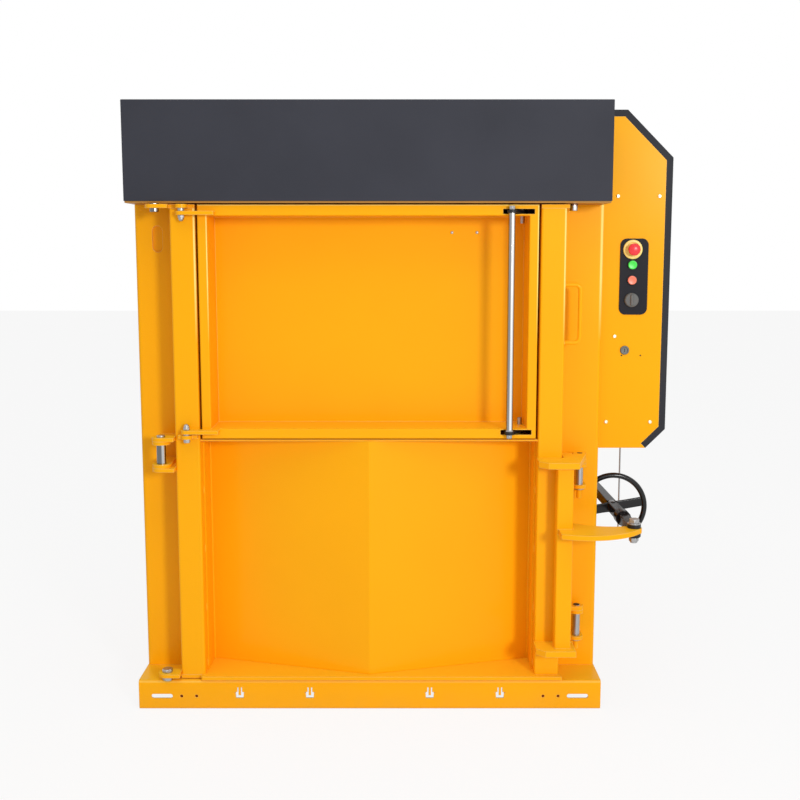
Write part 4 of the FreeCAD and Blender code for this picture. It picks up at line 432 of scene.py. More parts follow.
# Edge tones above 1 pale every edge of these coats: partly worn coat, partly a painted highlight.
CHARCOAL = PowderCoat("charcoal_textured_coat", "grey_paint", (0.037, 0.0385, 0.05),
                      roughness=0.62, specular=0.18, grain=900.0, grain_depth=0.00008,
                      mottle=0.1, edge_wear_and_highlight_tone=1.8)
WRAP = replace(CHARCOAL, name="dark_wrap_coat", colour=(0.026, 0.027, 0.033), roughness=0.6,
               edge_wear_and_highlight_tone=2.0)
SLATE = PowderCoat("slate_plate_coat", "grey_paint", (0.011, 0.011, 0.016), roughness=0.5,
                   specular=0.14, grain=1200.0, mottle=0.06, edge_wear_and_highlight_tone=2.0)
# Chrome and pin steel carry a painted reflection: a pale band on one side of each rod.
CHROME = GlazedMetal("polished_chrome", "chrome", (0.3, 0.295, 0.29), roughness=0.14,
                     grain=120.0, grain_depth=0.000004, roughness_swing=0.05, reflection_band_share=0.95)
PIN_STEEL = replace(CHROME, name="turned_pin_steel", colour=(0.17, 0.17, 0.17),
                    reflection_band_share=0.45, reflection_band_side=(0.6, -0.8, 0.0))
ZINC = GlazedMetal("plated_steel", "bright_steel", (0.42, 0.42, 0.42), roughness=0.4,
                   grain=260.0, grain_stretch=(1.0, 1.0, 6.0), grain_depth=0.00001, edge=0.0006)
PALE_ZINC = GlazedMetal("passivated_zinc", "bright_steel", (0.9, 0.84, 0.66), roughness=0.4,
                        grain=400.0, grain_depth=0.00001, edge=0.0006)
DULL_STEEL = replace(PALE_ZINC, name="dull_lock_steel", colour=(0.13, 0.13, 0.12),
                     roughness=0.5)
SATIN_BLACK = PowderCoat("satin_black_steel", "dark_steel", (0.012, 0.012, 0.013),
                         roughness=0.4, specular=0.3, mottle=0.15, edge_wear_and_highlight_tone=2.4)
GLOSS_BLACK = PowderCoat("gloss_black_enamel", "dark_steel", (0.012, 0.009, 0.009),
                         roughness=0.2, roughness_swing=0.03, specular=0.05, grain=200.0,
                         grain_depth=0.000006, mottle=0.12, edge=0.0012, edge_wear_and_highlight_tone=2.0)
BLACK_PLASTIC = Moulded("black_moulding", "black_plastic", (0.012, 0.012, 0.014),
                        roughness=0.36, specular=0.35, mottle=0.1)
GLOSSY_BLACK = Moulded("glossy_black_moulding", "black_plastic", (0.005, 0.005, 0.006),
                       roughness=0.18, specular=0.4, mottle=0.1)
YELLOW = Moulded("yellow_moulding", "yellow_plastic", (0.93, 0.74, 0.2), roughness=0.3,
                 specular=0.3)
RED = Moulded("red_moulding", "red_plastic", (0.86, 0.045, 0.055), roughness=0.24,
              specular=0.35)
GREEN = Moulded("green_moulding", "green_plastic", (0.06, 0.82, 0.08), roughness=0.26,
                specular=0.3)
CORAL = Moulded("coral_moulding", "coral_plastic", (0.95, 0.22, 0.13), roughness=0.26,
                specular=0.3)
KNOB_GREY = Moulded("grey_moulding", "grey_plastic", (0.14, 0.14, 0.135), roughness=0.5,
                    specular=0.2)
MACHINE = Finish("machine_enamel", "grey_machine", (0.22, 0.25, 0.28), roughness=0.34,
                 specular=0.4, coat=0.15, grain=90.0, mottle=0.08)

NODE_FINISHES: dict[Finish, tuple[str, ...]] = {
    FOLD_HIGHLIGHT_ORANGE: ("left_door_stile", "right_door_stile", "left_post", "right_post",
                    "hatch_tray"),
    BASE_ORANGE: ("base_front_beam",),
    HOOD_ORANGE: ("hood_front_panel",),
    PANEL_ORANGE: ("door_panel",),
    HEADER_PAINTED_SHADE_ORANGE: ("header_plate",),
    ORANGE: (
        "base_rear_beam", "base_side_beams", "base_bearers", "base_deck", "chamber_floor",
        "left_side_wall", "right_side_wall", "side_ribs", "back_wall", "back_ribs", "top_beams",
        "door_plates", "door_hinge_leaves", "frame_ears", "hatch_hinge_plate", "strut_cradle",
        "hood_body", "hood_brackets", "cylinder_lugs", "hatch_straps", "lock_tube",
        "lock_plates", "lock_arm", "platen",
    ),
    CHARCOAL: ("top_cover",),
    WRAP: ("hood_wrap",),
    SLATE: ("control_plate",),
    SATIN_BLACK: ("clevis", "latch_cranks"),
    GLOSS_BLACK: ("strut_sleeves",),
    ZINC: ("latch_pivots",),
    MACHINE: ("power_pack", "front_cylinder", "rear_cylinder"),
    CHROME: ("front_piston_rod", "rear_piston_rod"),
}


# Surfaces -----------------------------------------------------------------------------------

ARC_WEIGHT = 1.4142
HEXAGON_SIDES = 72


@dataclass
class Surface:
    """Points and faces of a worked-out surface."""

    points: np.ndarray
    faces: list[list[int]]

    def turned(self, centre: Place, degrees: float, axis: Axis) -> "Surface":
        """Copy turned about an axis through a place: each point is its part along the axis plus
        its part across it, swung by the angle.

        Args:
            centre: place that the axis goes through.
            degrees: angle, right-handed.
            axis: direction of the axis.

        Returns:
            The turned copy.
        """
        angle = math.radians(degrees)
        line = axis.vector
        arm = self.points - np.array(centre)
        along = np.outer(arm @ line, line)
        swung = along + (arm - along) * math.cos(angle) + np.cross(line, arm) * math.sin(angle)
        return Surface(swung + np.array(centre), self.faces)


def together(surfaces: Sequence[Surface]) -> Surface:
    """All surfaces as one: each one's corners are numbered on from the points before it.

    Args:
        surfaces: the surfaces, in order.

    Returns:
        The joint surface.
    """
    faces: list[list[int]] = []
    start = 0
    for surface in surfaces:
        faces += [[corner + start for corner in face] for face in surface.faces]
        start += len(surface.points)
    return Surface(np.concatenate([surface.points for surface in surfaces]), faces)


def full_turn(count: int) -> np.ndarray:
    """Angles of evenly spaced points round a circle."""
    return np.linspace(0, 2 * math.pi, count, endpoint=False)


def capped(points: np.ndarray, ring: bool = False) -> Surface:
    """Surface from a grid of points whose rows close on themselves, with flat caps at both ends:
    each face joins a point, the next one in its row, and the same two in the next row.

    Args:
        points: array of rows, points in a row, three numbers.
        ring: whether the rows close into a ring, which then needs no caps.

    Returns:
        The closed surface.
    """
    rows, columns, _ = points.shape
    row = np.arange(rows if ring else rows - 1)[:, None]
    here = np.arange(columns)[None, :]
    after = (here + 1) % columns
    near, far = row * columns, (row + 1) % rows * columns
    corners = np.stack([near + here, near + after, far + after, far + here], axis=-1)
    faces = corners.reshape(-1, 4).tolist()
    if not ring:
        last = (rows - 1) * columns
        faces += [list(range(columns))[::-1], list(range(last, last + columns))]
    return Surface(points.reshape(-1, 3), faces)


def directions_round(line: np.ndarray, angle: np.ndarray) -> np.ndarray:
    """Unit vectors across a line: cosine * first + sine * second, for two vectors square to it.

    Args:
        line: unit vector.
        angle: angles about the line.

    Returns:
        Array of vectors, one per angle.
    """
    helper = UP if abs(line[2]) < 0.9 else RIGHT
    first = np.cross(helper, line)
    first /= np.linalg.norm(first)
    second = np.cross(line, first)
    return np.cos(angle)[:, None] * first + np.sin(angle)[:, None] * second


def lathed(outline: Outline, centre: Place, line: np.ndarray, sides: int = 48) -> Surface:
    """Surface of revolution: point(row, angle) = centre + rise * line + radius * direction(angle).

    Args:
        outline: radius and rise along the line, for each row.
        centre: place where the rise is 0.
        line: unit vector of the axis.
        sides: number of points round the axis.

    Returns:
        The closed surface.
    """
    radius, rise = np.array(outline, float).T
    around = directions_round(line, full_turn(sides))
    points = np.array(centre) + rise[:, None, None] * line + radius[:, None, None] * around[None]
    return capped(points)


def rounded_outline(corners: Outline, steps: int = 5) -> list[Span]:
    """Outline with a quarter-like arc at each corner: a curve that leaves and meets both sides at
    the corner's radius, as the square-weighted mix of its two ends and the corner itself.

    Args:
        corners: radius, rise and rounding of each corner.
        steps: points on each rounding.

    Returns:
        Radius and rise of each point.
    """
    spots = np.array([corner[:2] for corner in corners], float)
    found: list[Span] = []
    for index, (_, _, rounding) in enumerate(corners):
        here = spots[index]
        if rounding <= 0 or index in (0, len(corners) - 1):
            found.append(tuple(here))
            continue
        back, ahead = spots[index - 1] - here, spots[index + 1] - here
        start = here + back / np.linalg.norm(back) * rounding
        end = here + ahead / np.linalg.norm(ahead) * rounding
        share = np.linspace(0, 1, steps)[:, None]
        weight = 1 - share
        middle = ARC_WEIGHT * weight * share
        arc = weight**2 * start + middle * here + share**2 * end
        found.extend(map(tuple, arc / (weight**2 + middle + share**2)))
    return found


def crowned_outline(height: float, power: float, steps: int, rim: Outline) -> list[Span]:
    """Outline of a button's head: height(radius) changes by a power of the radius from the middle
    to the rim's first corner, and the rim follows.

    Args:
        height: height of the middle.
        power: power of the radius.
        steps: points on the crown.
        rim: radius, rise and rounding of each of the rim's corners.

    Returns:
        Radius and rise of each point.
    """
    radius, edge, _ = rim[0]
    crown = [(radius * share, height + (edge - height) * share**power)
             for share in np.linspace(0, 1, steps)]
    return crown + rounded_outline(rim)[1:]


def round_bar(radius: float, span: Span, centre: Place, line: np.ndarray,
              rounds: Span = (0.0, 0.0), steps: int = 5, sides: int = 48) -> Surface:
    """Round bar over a span of its axis, with a rounding at each end.

    Args:
        radius: radius of the bar.
        span: where it starts and ends, along the line.
        centre: place where the span is 0.
        line: unit vector of the axis.
        rounds: rounding at its start and at its end.
        steps: points on each rounding; with two of them it is a plain chamfer.
        sides: number of points round the axis.

    Returns:
        The closed surface.
    """
    (start, end), (first, last) = span, rounds
    corners = [(0, start, 0), (radius, start, first), (radius, end, last), (0, end, 0)]
    return lathed(rounded_outline(corners, steps), centre, line, sides)


def hexagonal(across_flats: float, height: float, centre: Place, line: np.ndarray,
              chamfer: float = 1.5, turn: float = 0.0) -> Surface:
    """Hexagon head: radius(angle, rise) = the smaller of a hexagon's edge and a cone at each end.

    Args:
        across_flats: distance between two opposite flats.
        height: height of the head.
        centre: middle of its base.
        line: unit vector from its base to its top.
        chamfer: height over which the cone takes off the corners.
        turn: angle of the flats in degrees.

    Returns:
        The closed surface.
    """
    flat = across_flats / 2
    corner = flat / math.cos(math.pi / 6)
    half = (flat + corner) / 2
    rise = np.array([0.0, chamfer * 0.5, chamfer, height - chamfer, height - chamfer * 0.5, height])
    cone = np.array([flat, half, corner, corner, half, flat])
    angle = full_turn(HEXAGON_SIDES)
    swing = (angle + math.radians(turn)) % (math.pi / 3) - math.pi / 6
    edge = flat / np.cos(swing)
    radius = np.minimum(cone[:, None], edge[None, :])
    around = directions_round(line, angle)
    points = np.array(centre) + rise[:, None, None] * line + radius[:, :, None] * around[None]
    return capped(points)


def rounded_box(low: Place, high: Place, radius: float, steps: int = 4) -> Surface:
    """Box with round edges: a ball's grid of directions, each octant moved out to its own corner.

    Args:
        low: lowest corner.
        high: highest corner.
        radius: radius of every edge.
        steps: points on a quarter turn.

    Returns:
        The closed surface.
    """
    middle = (np.array(low, float) + np.array(high, float)) / 2
    core = (np.array(high, float) - np.array(low, float)) / 2 - radius
    quarter = np.linspace(0, math.pi / 2, steps)
    azimuth = np.concatenate([quarter + turn * math.pi / 2 for turn in range(4)])
    sign_x = np.repeat([1, -1, -1, 1], steps)
    sign_y = np.repeat([1, 1, -1, -1], steps)
    elevation = np.concatenate([quarter - math.pi / 2, quarter])
    sign_z = np.repeat([-1, 1], steps)
    flat = np.cos(elevation)[:, None]
    points = np.empty((2 * steps, 4 * steps, 3))
    points[..., 0] = middle[0] + sign_x * core[0] + radius * flat * np.cos(azimuth)
    points[..., 1] = middle[1] + sign_y * core[1] + radius * flat * np.sin(azimuth)
    points[..., 2] = middle[2] + (sign_z * core[2] + radius * np.sin(elevation))[:, None]
    return capped(points)


def swept(path: np.ndarray, profile: np.ndarray, normal: np.ndarray,
          scale: np.ndarray | None = None, closed: bool = False) -> Surface:
    """Profile carried along a flat path: point(row, column) = path + u * (tangent x normal) +
    v * normal.

    Args:
        path: array of places, in one plane.
        profile: array of (u, v), in order round the section.
        normal: unit vector square to the path's plane.
        scale: size of the profile at each place of the path.
        closed: whether the path is a ring.

    Returns:
        The closed surface.
    """
    if closed:
        tangent = np.roll(path, -1, axis=0) - np.roll(path, 1, axis=0)
    else:
        tangent = np.gradient(path, axis=0)
    tangent /= np.linalg.norm(tangent, axis=1)[:, None]
    across = np.cross(tangent, normal)
    size = np.ones(len(path)) if scale is None else scale
    section = profile[None, :, :1] * across[:, None, :] + profile[None, :, 1:] * normal
    return capped(path[:, None, :] + size[:, None, None] * section, closed)


def place_piece(name: str, surface: Surface, finish: Finish, body: Body,
                stands_for: Sequence[str] = (), sharp: float = 32.0) -> None:
    """Makes a surface a piece of the machine, as an object at the origin.

    Args:
        name: name of the piece.
        surface: its points in millimetres and its faces.
        finish: its surface finish, whose material it takes.
        body: body that it rides on.
        stands_for: CAD nodes that it replaces.
        sharp: angle in degrees past which an edge stays sharp.
    """
    points = (surface.points - np.array([0.0, HALF_DEPTH, 0.0])) * MM
    mesh = bpy.data.meshes.new(name)
    mesh.from_pydata(points.tolist(), [], surface.faces)
    shell = bmesh.new()
    shell.from_mesh(mesh)
    bmesh.ops.remove_doubles(shell, verts=shell.verts, dist=WELD_DISTANCE)
    bmesh.ops.recalc_face_normals(shell, faces=shell.faces)
    shell.to_mesh(mesh)
    shell.free()
    mesh.polygons.foreach_set("use_smooth", np.ones(len(mesh.polygons), bool))
    mesh.set_sharp_from_angle(angle=math.radians(sharp))
    mesh.materials.append(finish.material())
    piece = put_in_scene(name, mesh)
    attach(piece, body.value)
    if stands_for:
        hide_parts(*stands_for)
    log.info("%s: %d faces on %s", name, len(mesh.polygons), body.value)


# Sub-assemblies -----------------------------------------------------------------------------

LOCK_PIN = (699.0, 100.0)
CLEVIS_PIN = (859.0, -30.0)


@dataclass
class DoorHardware:
    """Pins of the bale door and of its lock, their bolts, the closing roller and the handle.

    An end pin is given by its bottom and length, a foot nut by its height, bottom, chamfer and
    turn.
    """

    door_pin: Place = (-674.0, 10.0, 809.0)
    door_pin_length: float = 112.0
    door_pin_radius: float = 15.0
    end_pins: tuple[Span, ...] = ((1640.0, 28.0), (100.0, 27.0))
    end_pin_radius: float = 14.0
    foot_nuts: Outline = ((15.0, 100.0, 1.5, 12.0), (12.0, 127.0, 2.4, 4.0))
    foot_nut_flats: float = 31.2
    cap_radius: float = 13.0
    cap_height: float = 6.0
    cap_rounds: Span = (0.0, 2.0)
    chamfers: Span = (1.5, 1.5)
    lock_pin_spans: tuple[Span, ...] = ((211.0, 330.2), (734.0, 844.0))
    lock_pin_radius: float = 12.0
    lock_pin_end: tuple[float, float] = (0.8, 10.0)
    washer_radius: float = 17.0
    washer_height: float = 5.0
    tail_radius: float = 8.0
    tail_length: float = 30.0
    roller: Place = (656.0, 60.0, 1645.0)
    roller_radius: float = 13.0
    roller_length: float = 23.0
    roller_rounds: Span = (2.0, 1.0)
    handle_x: Span = (629.0, 684.0)
    handle_depth: float = 60.0
    handle_z: Span = (1223.0, 1410.0)
    handle_bend: float = 18.0
    handle_radius: float = 7.0
    collar: Outline = ((0, 0), (11, 0), (10.4, 1.6), (8.6, 3.2), (7.2, 4.6), (0, 4.6))

    def pin(self, foot: Place, length: float, radius: float) -> Surface:
        """Upright pin with chamfered ends."""
        return round_bar(radius, (0, length), foot, UP, self.chamfers, steps=2)

    def pins(self) -> Surface:
        """Door hinge pin and the door's two end pins.

        Returns:
            All pins in one surface.
        """
        x, depth, _ = self.door_pin
        ends = [self.pin((x, depth, bottom), length, self.end_pin_radius)
                for bottom, length in self.end_pins]
        hinge = self.pin(self.door_pin, self.door_pin_length, self.door_pin_radius)
        return together([hinge] + ends)

    def bolts(self) -> Surface:
        """Nut and head of the foot bolt, cap of the hinge pin, and the lock pins with washers.

        Returns:
            All of them in one surface.
        """
        x, depth, bottom = self.door_pin
        found = [hexagonal(self.foot_nut_flats, height, (x, depth, foot), UP, chamfer, turn)
                 for height, foot, chamfer, turn in self.foot_nuts]
        found.append(round_bar(self.cap_radius, (0, self.cap_height),
                               (x, depth, bottom + self.door_pin_length), UP, self.cap_rounds))
        for low, high in self.lock_pin_spans:
            found.append(self.pin((*LOCK_PIN, low), high - low, self.lock_pin_radius))
            found.append(self.pin((*LOCK_PIN, low - self.washer_height), self.washer_height,
                                  self.washer_radius))
        return together(found)

    def tails(self) -> Surface:
        """Painted tails under the lock pins' washers.

        Returns:
            Both tails in one surface.
        """
        drop = self.washer_height + self.tail_length
        return together([self.pin((*LOCK_PIN, low - drop), self.tail_length, self.tail_radius)
                         for low, _ in self.lock_pin_spans])

    def handle(self) -> Surface:
        """Handle: a round bar out of the stile, round a bend, up, round a bend and back, with a
        collar at each end.

        Returns:
            The bar and its collars.
        """
        near, far = self.handle_x
        low, high = self.handle_z
        bend = self.handle_bend
        angle = np.linspace(0, math.pi / 2, 10)
        lower = [far - bend + bend * np.sin(angle), low + bend - bend * np.cos(angle)]
        upper = [far - bend + bend * np.cos(angle), high - bend + bend * np.sin(angle)]
        spots = np.concatenate([[[near, low]], np.stack(lower, axis=1), np.stack(upper, axis=1),
                                [[near, high]]])
        path = np.insert(spots, 1, self.handle_depth, axis=1)
        turn = full_turn(24)
        profile = self.handle_radius * np.stack([np.cos(turn), np.sin(turn)], axis=1)
        collars = [lathed(self.collar, (near, self.handle_depth, height), RIGHT, sides=32)
                   for height in self.handle_z]
        return together([swept(path, profile, BACK)] + collars)

    def build(self) -> None:
        """Makes the pins, their bolts and painted tails, the roller and the handle."""
        place_piece("door_pins", self.pins(), PIN_STEEL, Body.FRAME, ["hinge_pins"])
        place_piece("door_bolts_and_lock_pins", self.bolts(), ZINC, Body.FRAME)
        place_piece("lock_pin_tails", self.tails(), ORANGE, Body.FRAME)
        end = self.pin((*LOCK_PIN, self.lock_pin_spans[0][1]), *self.lock_pin_end)
        place_piece("lock_pin_end", end, SATIN_BLACK, Body.FRAME)
        roller = round_bar(self.roller_radius, (0, self.roller_length), self.roller, UP,
                           self.roller_rounds)
        place_piece("closing_roller", roller, CHROME, Body.FRAME)
        place_piece("grab_handle_bar", self.handle(), ORANGE, Body.FRAME, ["grab_handle"],
                    sharp=60.0)


@dataclass
class LockLug:
    """Wing of the lock's upper clamp plate, which runs back over the lock pin."""

    eye_radius: float = 22.0
    eye_arc: Span = (-20.0, 185.0)
    low: float = 832.4
    high: float = 851.6
    edge: float = 1.2
    front: tuple[Span, ...] = ((668.0, 60.0), (668.0, -82.0), (672.0, -82.0))
    pin_end: Outline = ((0, 0), (9.5, 0), (9.5, 0.5), (8.5, 0.9), (0, 0.9))

    def outline(self) -> np.ndarray:
        """Plan of the wing: its front corners, then an arc about the pin from right to back.

        Returns:
            Array of (x, depth), in order round the plan.
        """
        angle = np.linspace(*map(math.radians, self.eye_arc), 28)
        around = np.stack([np.cos(angle), np.sin(angle)], axis=1)
        return np.concatenate([self.front, np.array(LOCK_PIN) + self.eye_radius * around])

    def build(self) -> None:
        """Makes the wing, whose plan shrinks towards both faces, and the pin's end in it."""
        plan = self.outline()
        away = plan - plan.mean(axis=0)
        away /= np.linalg.norm(away, axis=1)[:, None]
        levels = ((self.low, self.edge), (self.low + self.edge, 0.0),
                  (self.high - self.edge, 0.0), (self.high, self.edge))
        rows = [np.insert(plan - inset * away, 2, height, axis=1) for height, inset in levels]
        place_piece("lock_plate_wing", capped(np.array(rows)), ORANGE, Body.LOCK)
        end = lathed(self.pin_end, (*LOCK_PIN, self.high), UP, sides=32)
        place_piece("lock_plate_pin_end", end, SATIN_BLACK, Body.LOCK)


@dataclass
class PullRod:
    """Chromed rod between the hatch's two cranks, with its nuts.

    A nut is given by its flats, height, seat and chamfer.
    """

    x: float = 453.5
    depth: float = 0.0
    radius: float = 11.0
    bottom: float = 940.0
    top: float = 1637.0
    collar_nut: tuple[float, ...] = (22.4, 5.0, 940.0, 0.8)
    top_nut: tuple[float, ...] = (17.2, 12.0, 1647.0, 1.5)
    foot_nut: tuple[float, ...] = (17.2, 12.0, 930.0, 1.5)

    def build(self) -> None:
        """Makes the rod with a collar nut at its foot, and the nuts past the cranks."""
        rod = round_bar(self.radius, (0, self.top - self.bottom),
                        (self.x, self.depth, self.bottom), UP)
        place_piece("pull_rod_bar", rod, CHROME, Body.LATCH, ["pull_rod"])
        nuts = [hexagonal(flats, height, (self.x, self.depth, seat), line, chamfer)
                for (flats, height, seat, chamfer), line in
                ((self.collar_nut, UP), (self.top_nut, UP), (self.foot_nut, DOWN))]
        place_piece("pull_rod_nuts", together(nuts), ZINC, Body.LATCH)


@dataclass
class HatchPins:
    """Domed nuts, washers and pins that the loading hatch turns on."""

    x: float = -587.0
    depth: float = -6.0
    pin_radius: float = 8.0
    strap: float = 12.0
    gap: float = 0.3
    top_strap: float = 1630.5
    top_pin_length: float = 33.5
    top_collar: Outline = ((8, 0), (10.4, 0), (11, 0.6), (11, 8.6), (10.4, 9.2), (8, 9.2))
    low_strap: float = 934.0
    low_pin_bottom: float = 917.0
    low_pin_length: float = 29.3
    low_washer_bottom: float = 929.0
    low_washer: Outline = ((8, 0), (11, 0), (11, 4.7), (8, 4.7))
    low_nut_flats: float = 19.0
    low_nut_height: float = 12.0
    dome_flats: float = 18.92
    dome_nut_height: float = 9.0
    dome_nut_chamfer: float = 1.2
    dome_radius: float = 8.6
    dome_collar: Span = (8.0, 11.2)

    def at(self, height: float) -> Place:
        """Place on the pins' axis."""
        return (self.x, self.depth, height)

    def domed(self, height: float, line: np.ndarray) -> Surface:
        """Domed nut: a hexagon and, beyond it, half a ball's outline on a short collar.

        Args:
            height: height of the face that it seats on.
            line: unit vector that it points along.

        Returns:
            The nut.
        """
        nut = hexagonal(self.dome_flats, self.dome_nut_height, self.at(height), line,
                        self.dome_nut_chamfer)
        foot, seat = self.dome_collar
        angle = np.linspace(0, math.pi / 2, 9)
        ball = [(self.dome_radius * math.cos(a), seat + self.dome_radius * math.sin(a))
                for a in angle]
        cap = lathed([(0, foot), (self.dome_radius, foot)] + ball, self.at(height), line,
                     sides=40)
        return together([nut, cap])

    def build(self) -> None:
        """Makes both pins with their nuts and washers."""
        seat = self.top_strap - self.gap
        found = together([
            round_bar(self.pin_radius, (0, self.top_pin_length), self.at(seat), UP),
            lathed(self.top_collar, self.at(self.top_strap + self.strap + self.gap), UP),
            self.domed(seat, DOWN),
            round_bar(self.pin_radius, (0, self.low_pin_length), self.at(self.low_pin_bottom), UP),
            lathed(self.low_washer, self.at(self.low_washer_bottom), UP),
            hexagonal(self.low_nut_flats, self.low_nut_height, self.at(self.low_pin_bottom), DOWN),
            self.domed(self.low_strap + self.strap + self.gap, UP),
        ])
        place_piece("hatch_pins_and_nuts", found, ZINC, Body.FRAME, ["hatch_pins"])


@dataclass
class HandWheel:
    """Moulded handwheel on the strut's screw."""

    centre: Place = (859.0, 306.0, 622.0)
    tilt: float = 1.0
    rim_radius: float = 112.0
    rim_width: float = 9.5
    rim_inner_flat: float = 0.06
    hub_radius: float = 20.0
    hub_half: float = 18.0
    hub_rounds: Span = (4.0, 4.0)
    spoke_half: float = 16.5
    spoke_thick_half: float = 4.0
    spoke_turn: float = 10.0
    spoke_inset: float = 2.0
    spoke_swell: float = 0.1
    spoke_swell_reach: float = 30.0
    screw_radius: float = 10.0
    screw_reach: float = 180.0
    screw_chamfers: Span = (2.0, 2.0)

    def rim(self) -> Surface:
        """Rim: an oval section, a little flatter inside, carried round a circle.

        Returns:
            The ring.
        """
        angle = full_turn(96)
        flat = np.stack([np.cos(angle), np.zeros(96), np.sin(angle)], axis=1)
        turn = full_turn(20)
        oval = [np.cos(turn), np.sin(turn) * (1 - self.rim_inner_flat * np.cos(turn))]
        return swept(np.array(self.centre) + self.rim_radius * flat,
                     self.rim_width * np.stack(oval, axis=1), BACK, closed=True)

    def spoke(self) -> Surface:
        """Spoke: a flat bar with round edges, whose width and thickness swell smoothly by a bell
        curve of the distance from the hub.

        Returns:
            The bar.
        """
        share = np.linspace(-1, 1, 41)
        reach = self.rim_radius - self.spoke_inset
        path = np.array(self.centre) + (share * reach)[:, None] * RIGHT
        near_hub = np.exp(-((share * self.rim_radius / self.spoke_swell_reach) ** 2))
        turn = full_turn(24)
        boxy = [np.sign(wave) * np.abs(wave) ** 0.5 * half
                for wave, half in ((np.cos(turn), self.spoke_half),
                                   (np.sin(turn), self.spoke_thick_half))]
        return swept(path, np.stack(boxy, axis=1), BACK, 1 + self.spoke_swell * near_hub)

    def build(self) -> None:
        """Makes the wheel and its screw, on the strut's own tilted line."""
        pin = (*CLEVIS_PIN, 0.0)
        hub = round_bar(self.hub_radius, (-self.hub_half, self.hub_half), self.centre, BACK,
                        self.hub_rounds, steps=6)
        spoke = self.spoke().turned(self.centre, -self.spoke_turn, Axis.DEPTH)
        wheel = together([self.rim(), spoke, hub]).turned(pin, self.tilt, Axis.Z)
        place_piece("handwheel_moulding", wheel, GLOSSY_BLACK, Body.WHEEL, ["handwheel"],
                    sharp=50.0)
        reach = self.hub_half + self.screw_reach
        screw = round_bar(self.screw_radius, (-reach, reach), self.centre, BACK,
                          self.screw_chamfers, steps=2, sides=32)
        place_piece("handwheel_screw", screw.turned(pin, self.tilt, Axis.Z), ZINC, Body.WHEEL)


@dataclass
class ClevisBolt:
    """Bolt through the lock's arm and the strut's clevis.

    A nut or head is given by its flats, height, chamfer and turn.
    """

    low: float = 601.4
    high: float = 642.6
    washer_thickness: float = 3.0
    washer_rounds: Span = (0.4, 0.9)
    top_washer_radius: float = 22.0
    low_washer_radius: float = 19.0
    head: tuple[float, ...] = (31.0, 14.0, 2.4, 8.0)
    nut: tuple[float, ...] = (27.0, 13.0, 2.2, 20.0)
    shank_radius: float = 12.0
    tip: Outline = ((0, 0), (11.5, 0), (11.5, 20), (10, 21), (0, 21))

    def washer(self, radius: float, height: float, line: np.ndarray, sides: int) -> Surface:
        """Washer with a thin top rounding, on one face of the clevis."""
        return round_bar(radius, (0, self.washer_thickness), (*CLEVIS_PIN, height), line,
                         self.washer_rounds, sides=sides)

    def hexagon(self, sizes: tuple[float, ...], height: float, line: np.ndarray) -> Surface:
        """Head or nut, seated on its washer."""
        flats, tall, chamfer, turn = sizes
        return hexagonal(flats, tall, (*CLEVIS_PIN, height), line, chamfer, turn)

    def build(self) -> None:
        """Makes the washers, the bolt's head, its shank and its nut."""
        head = together([
            self.washer(self.top_washer_radius, self.high, UP, sides=56),
            self.hexagon(self.head, self.high + self.washer_thickness, UP),
            round_bar(self.shank_radius, (0, self.high - self.low), (*CLEVIS_PIN, self.low), UP),
        ])
        place_piece("clevis_bolt_head", head, ZINC, Body.LOCK, ["clevis_bolt"])
        washer = self.washer(self.low_washer_radius, self.low, DOWN, sides=48)
        place_piece("clevis_bolt_washer", washer, SATIN_BLACK, Body.LOCK)
        nut = together([self.hexagon(self.nut, self.low - self.washer_thickness, DOWN),
                        lathed(self.tip, (*CLEVIS_PIN, self.low), DOWN)])
        place_piece("clevis_bolt_nut", nut, ZINC, Body.LOCK)


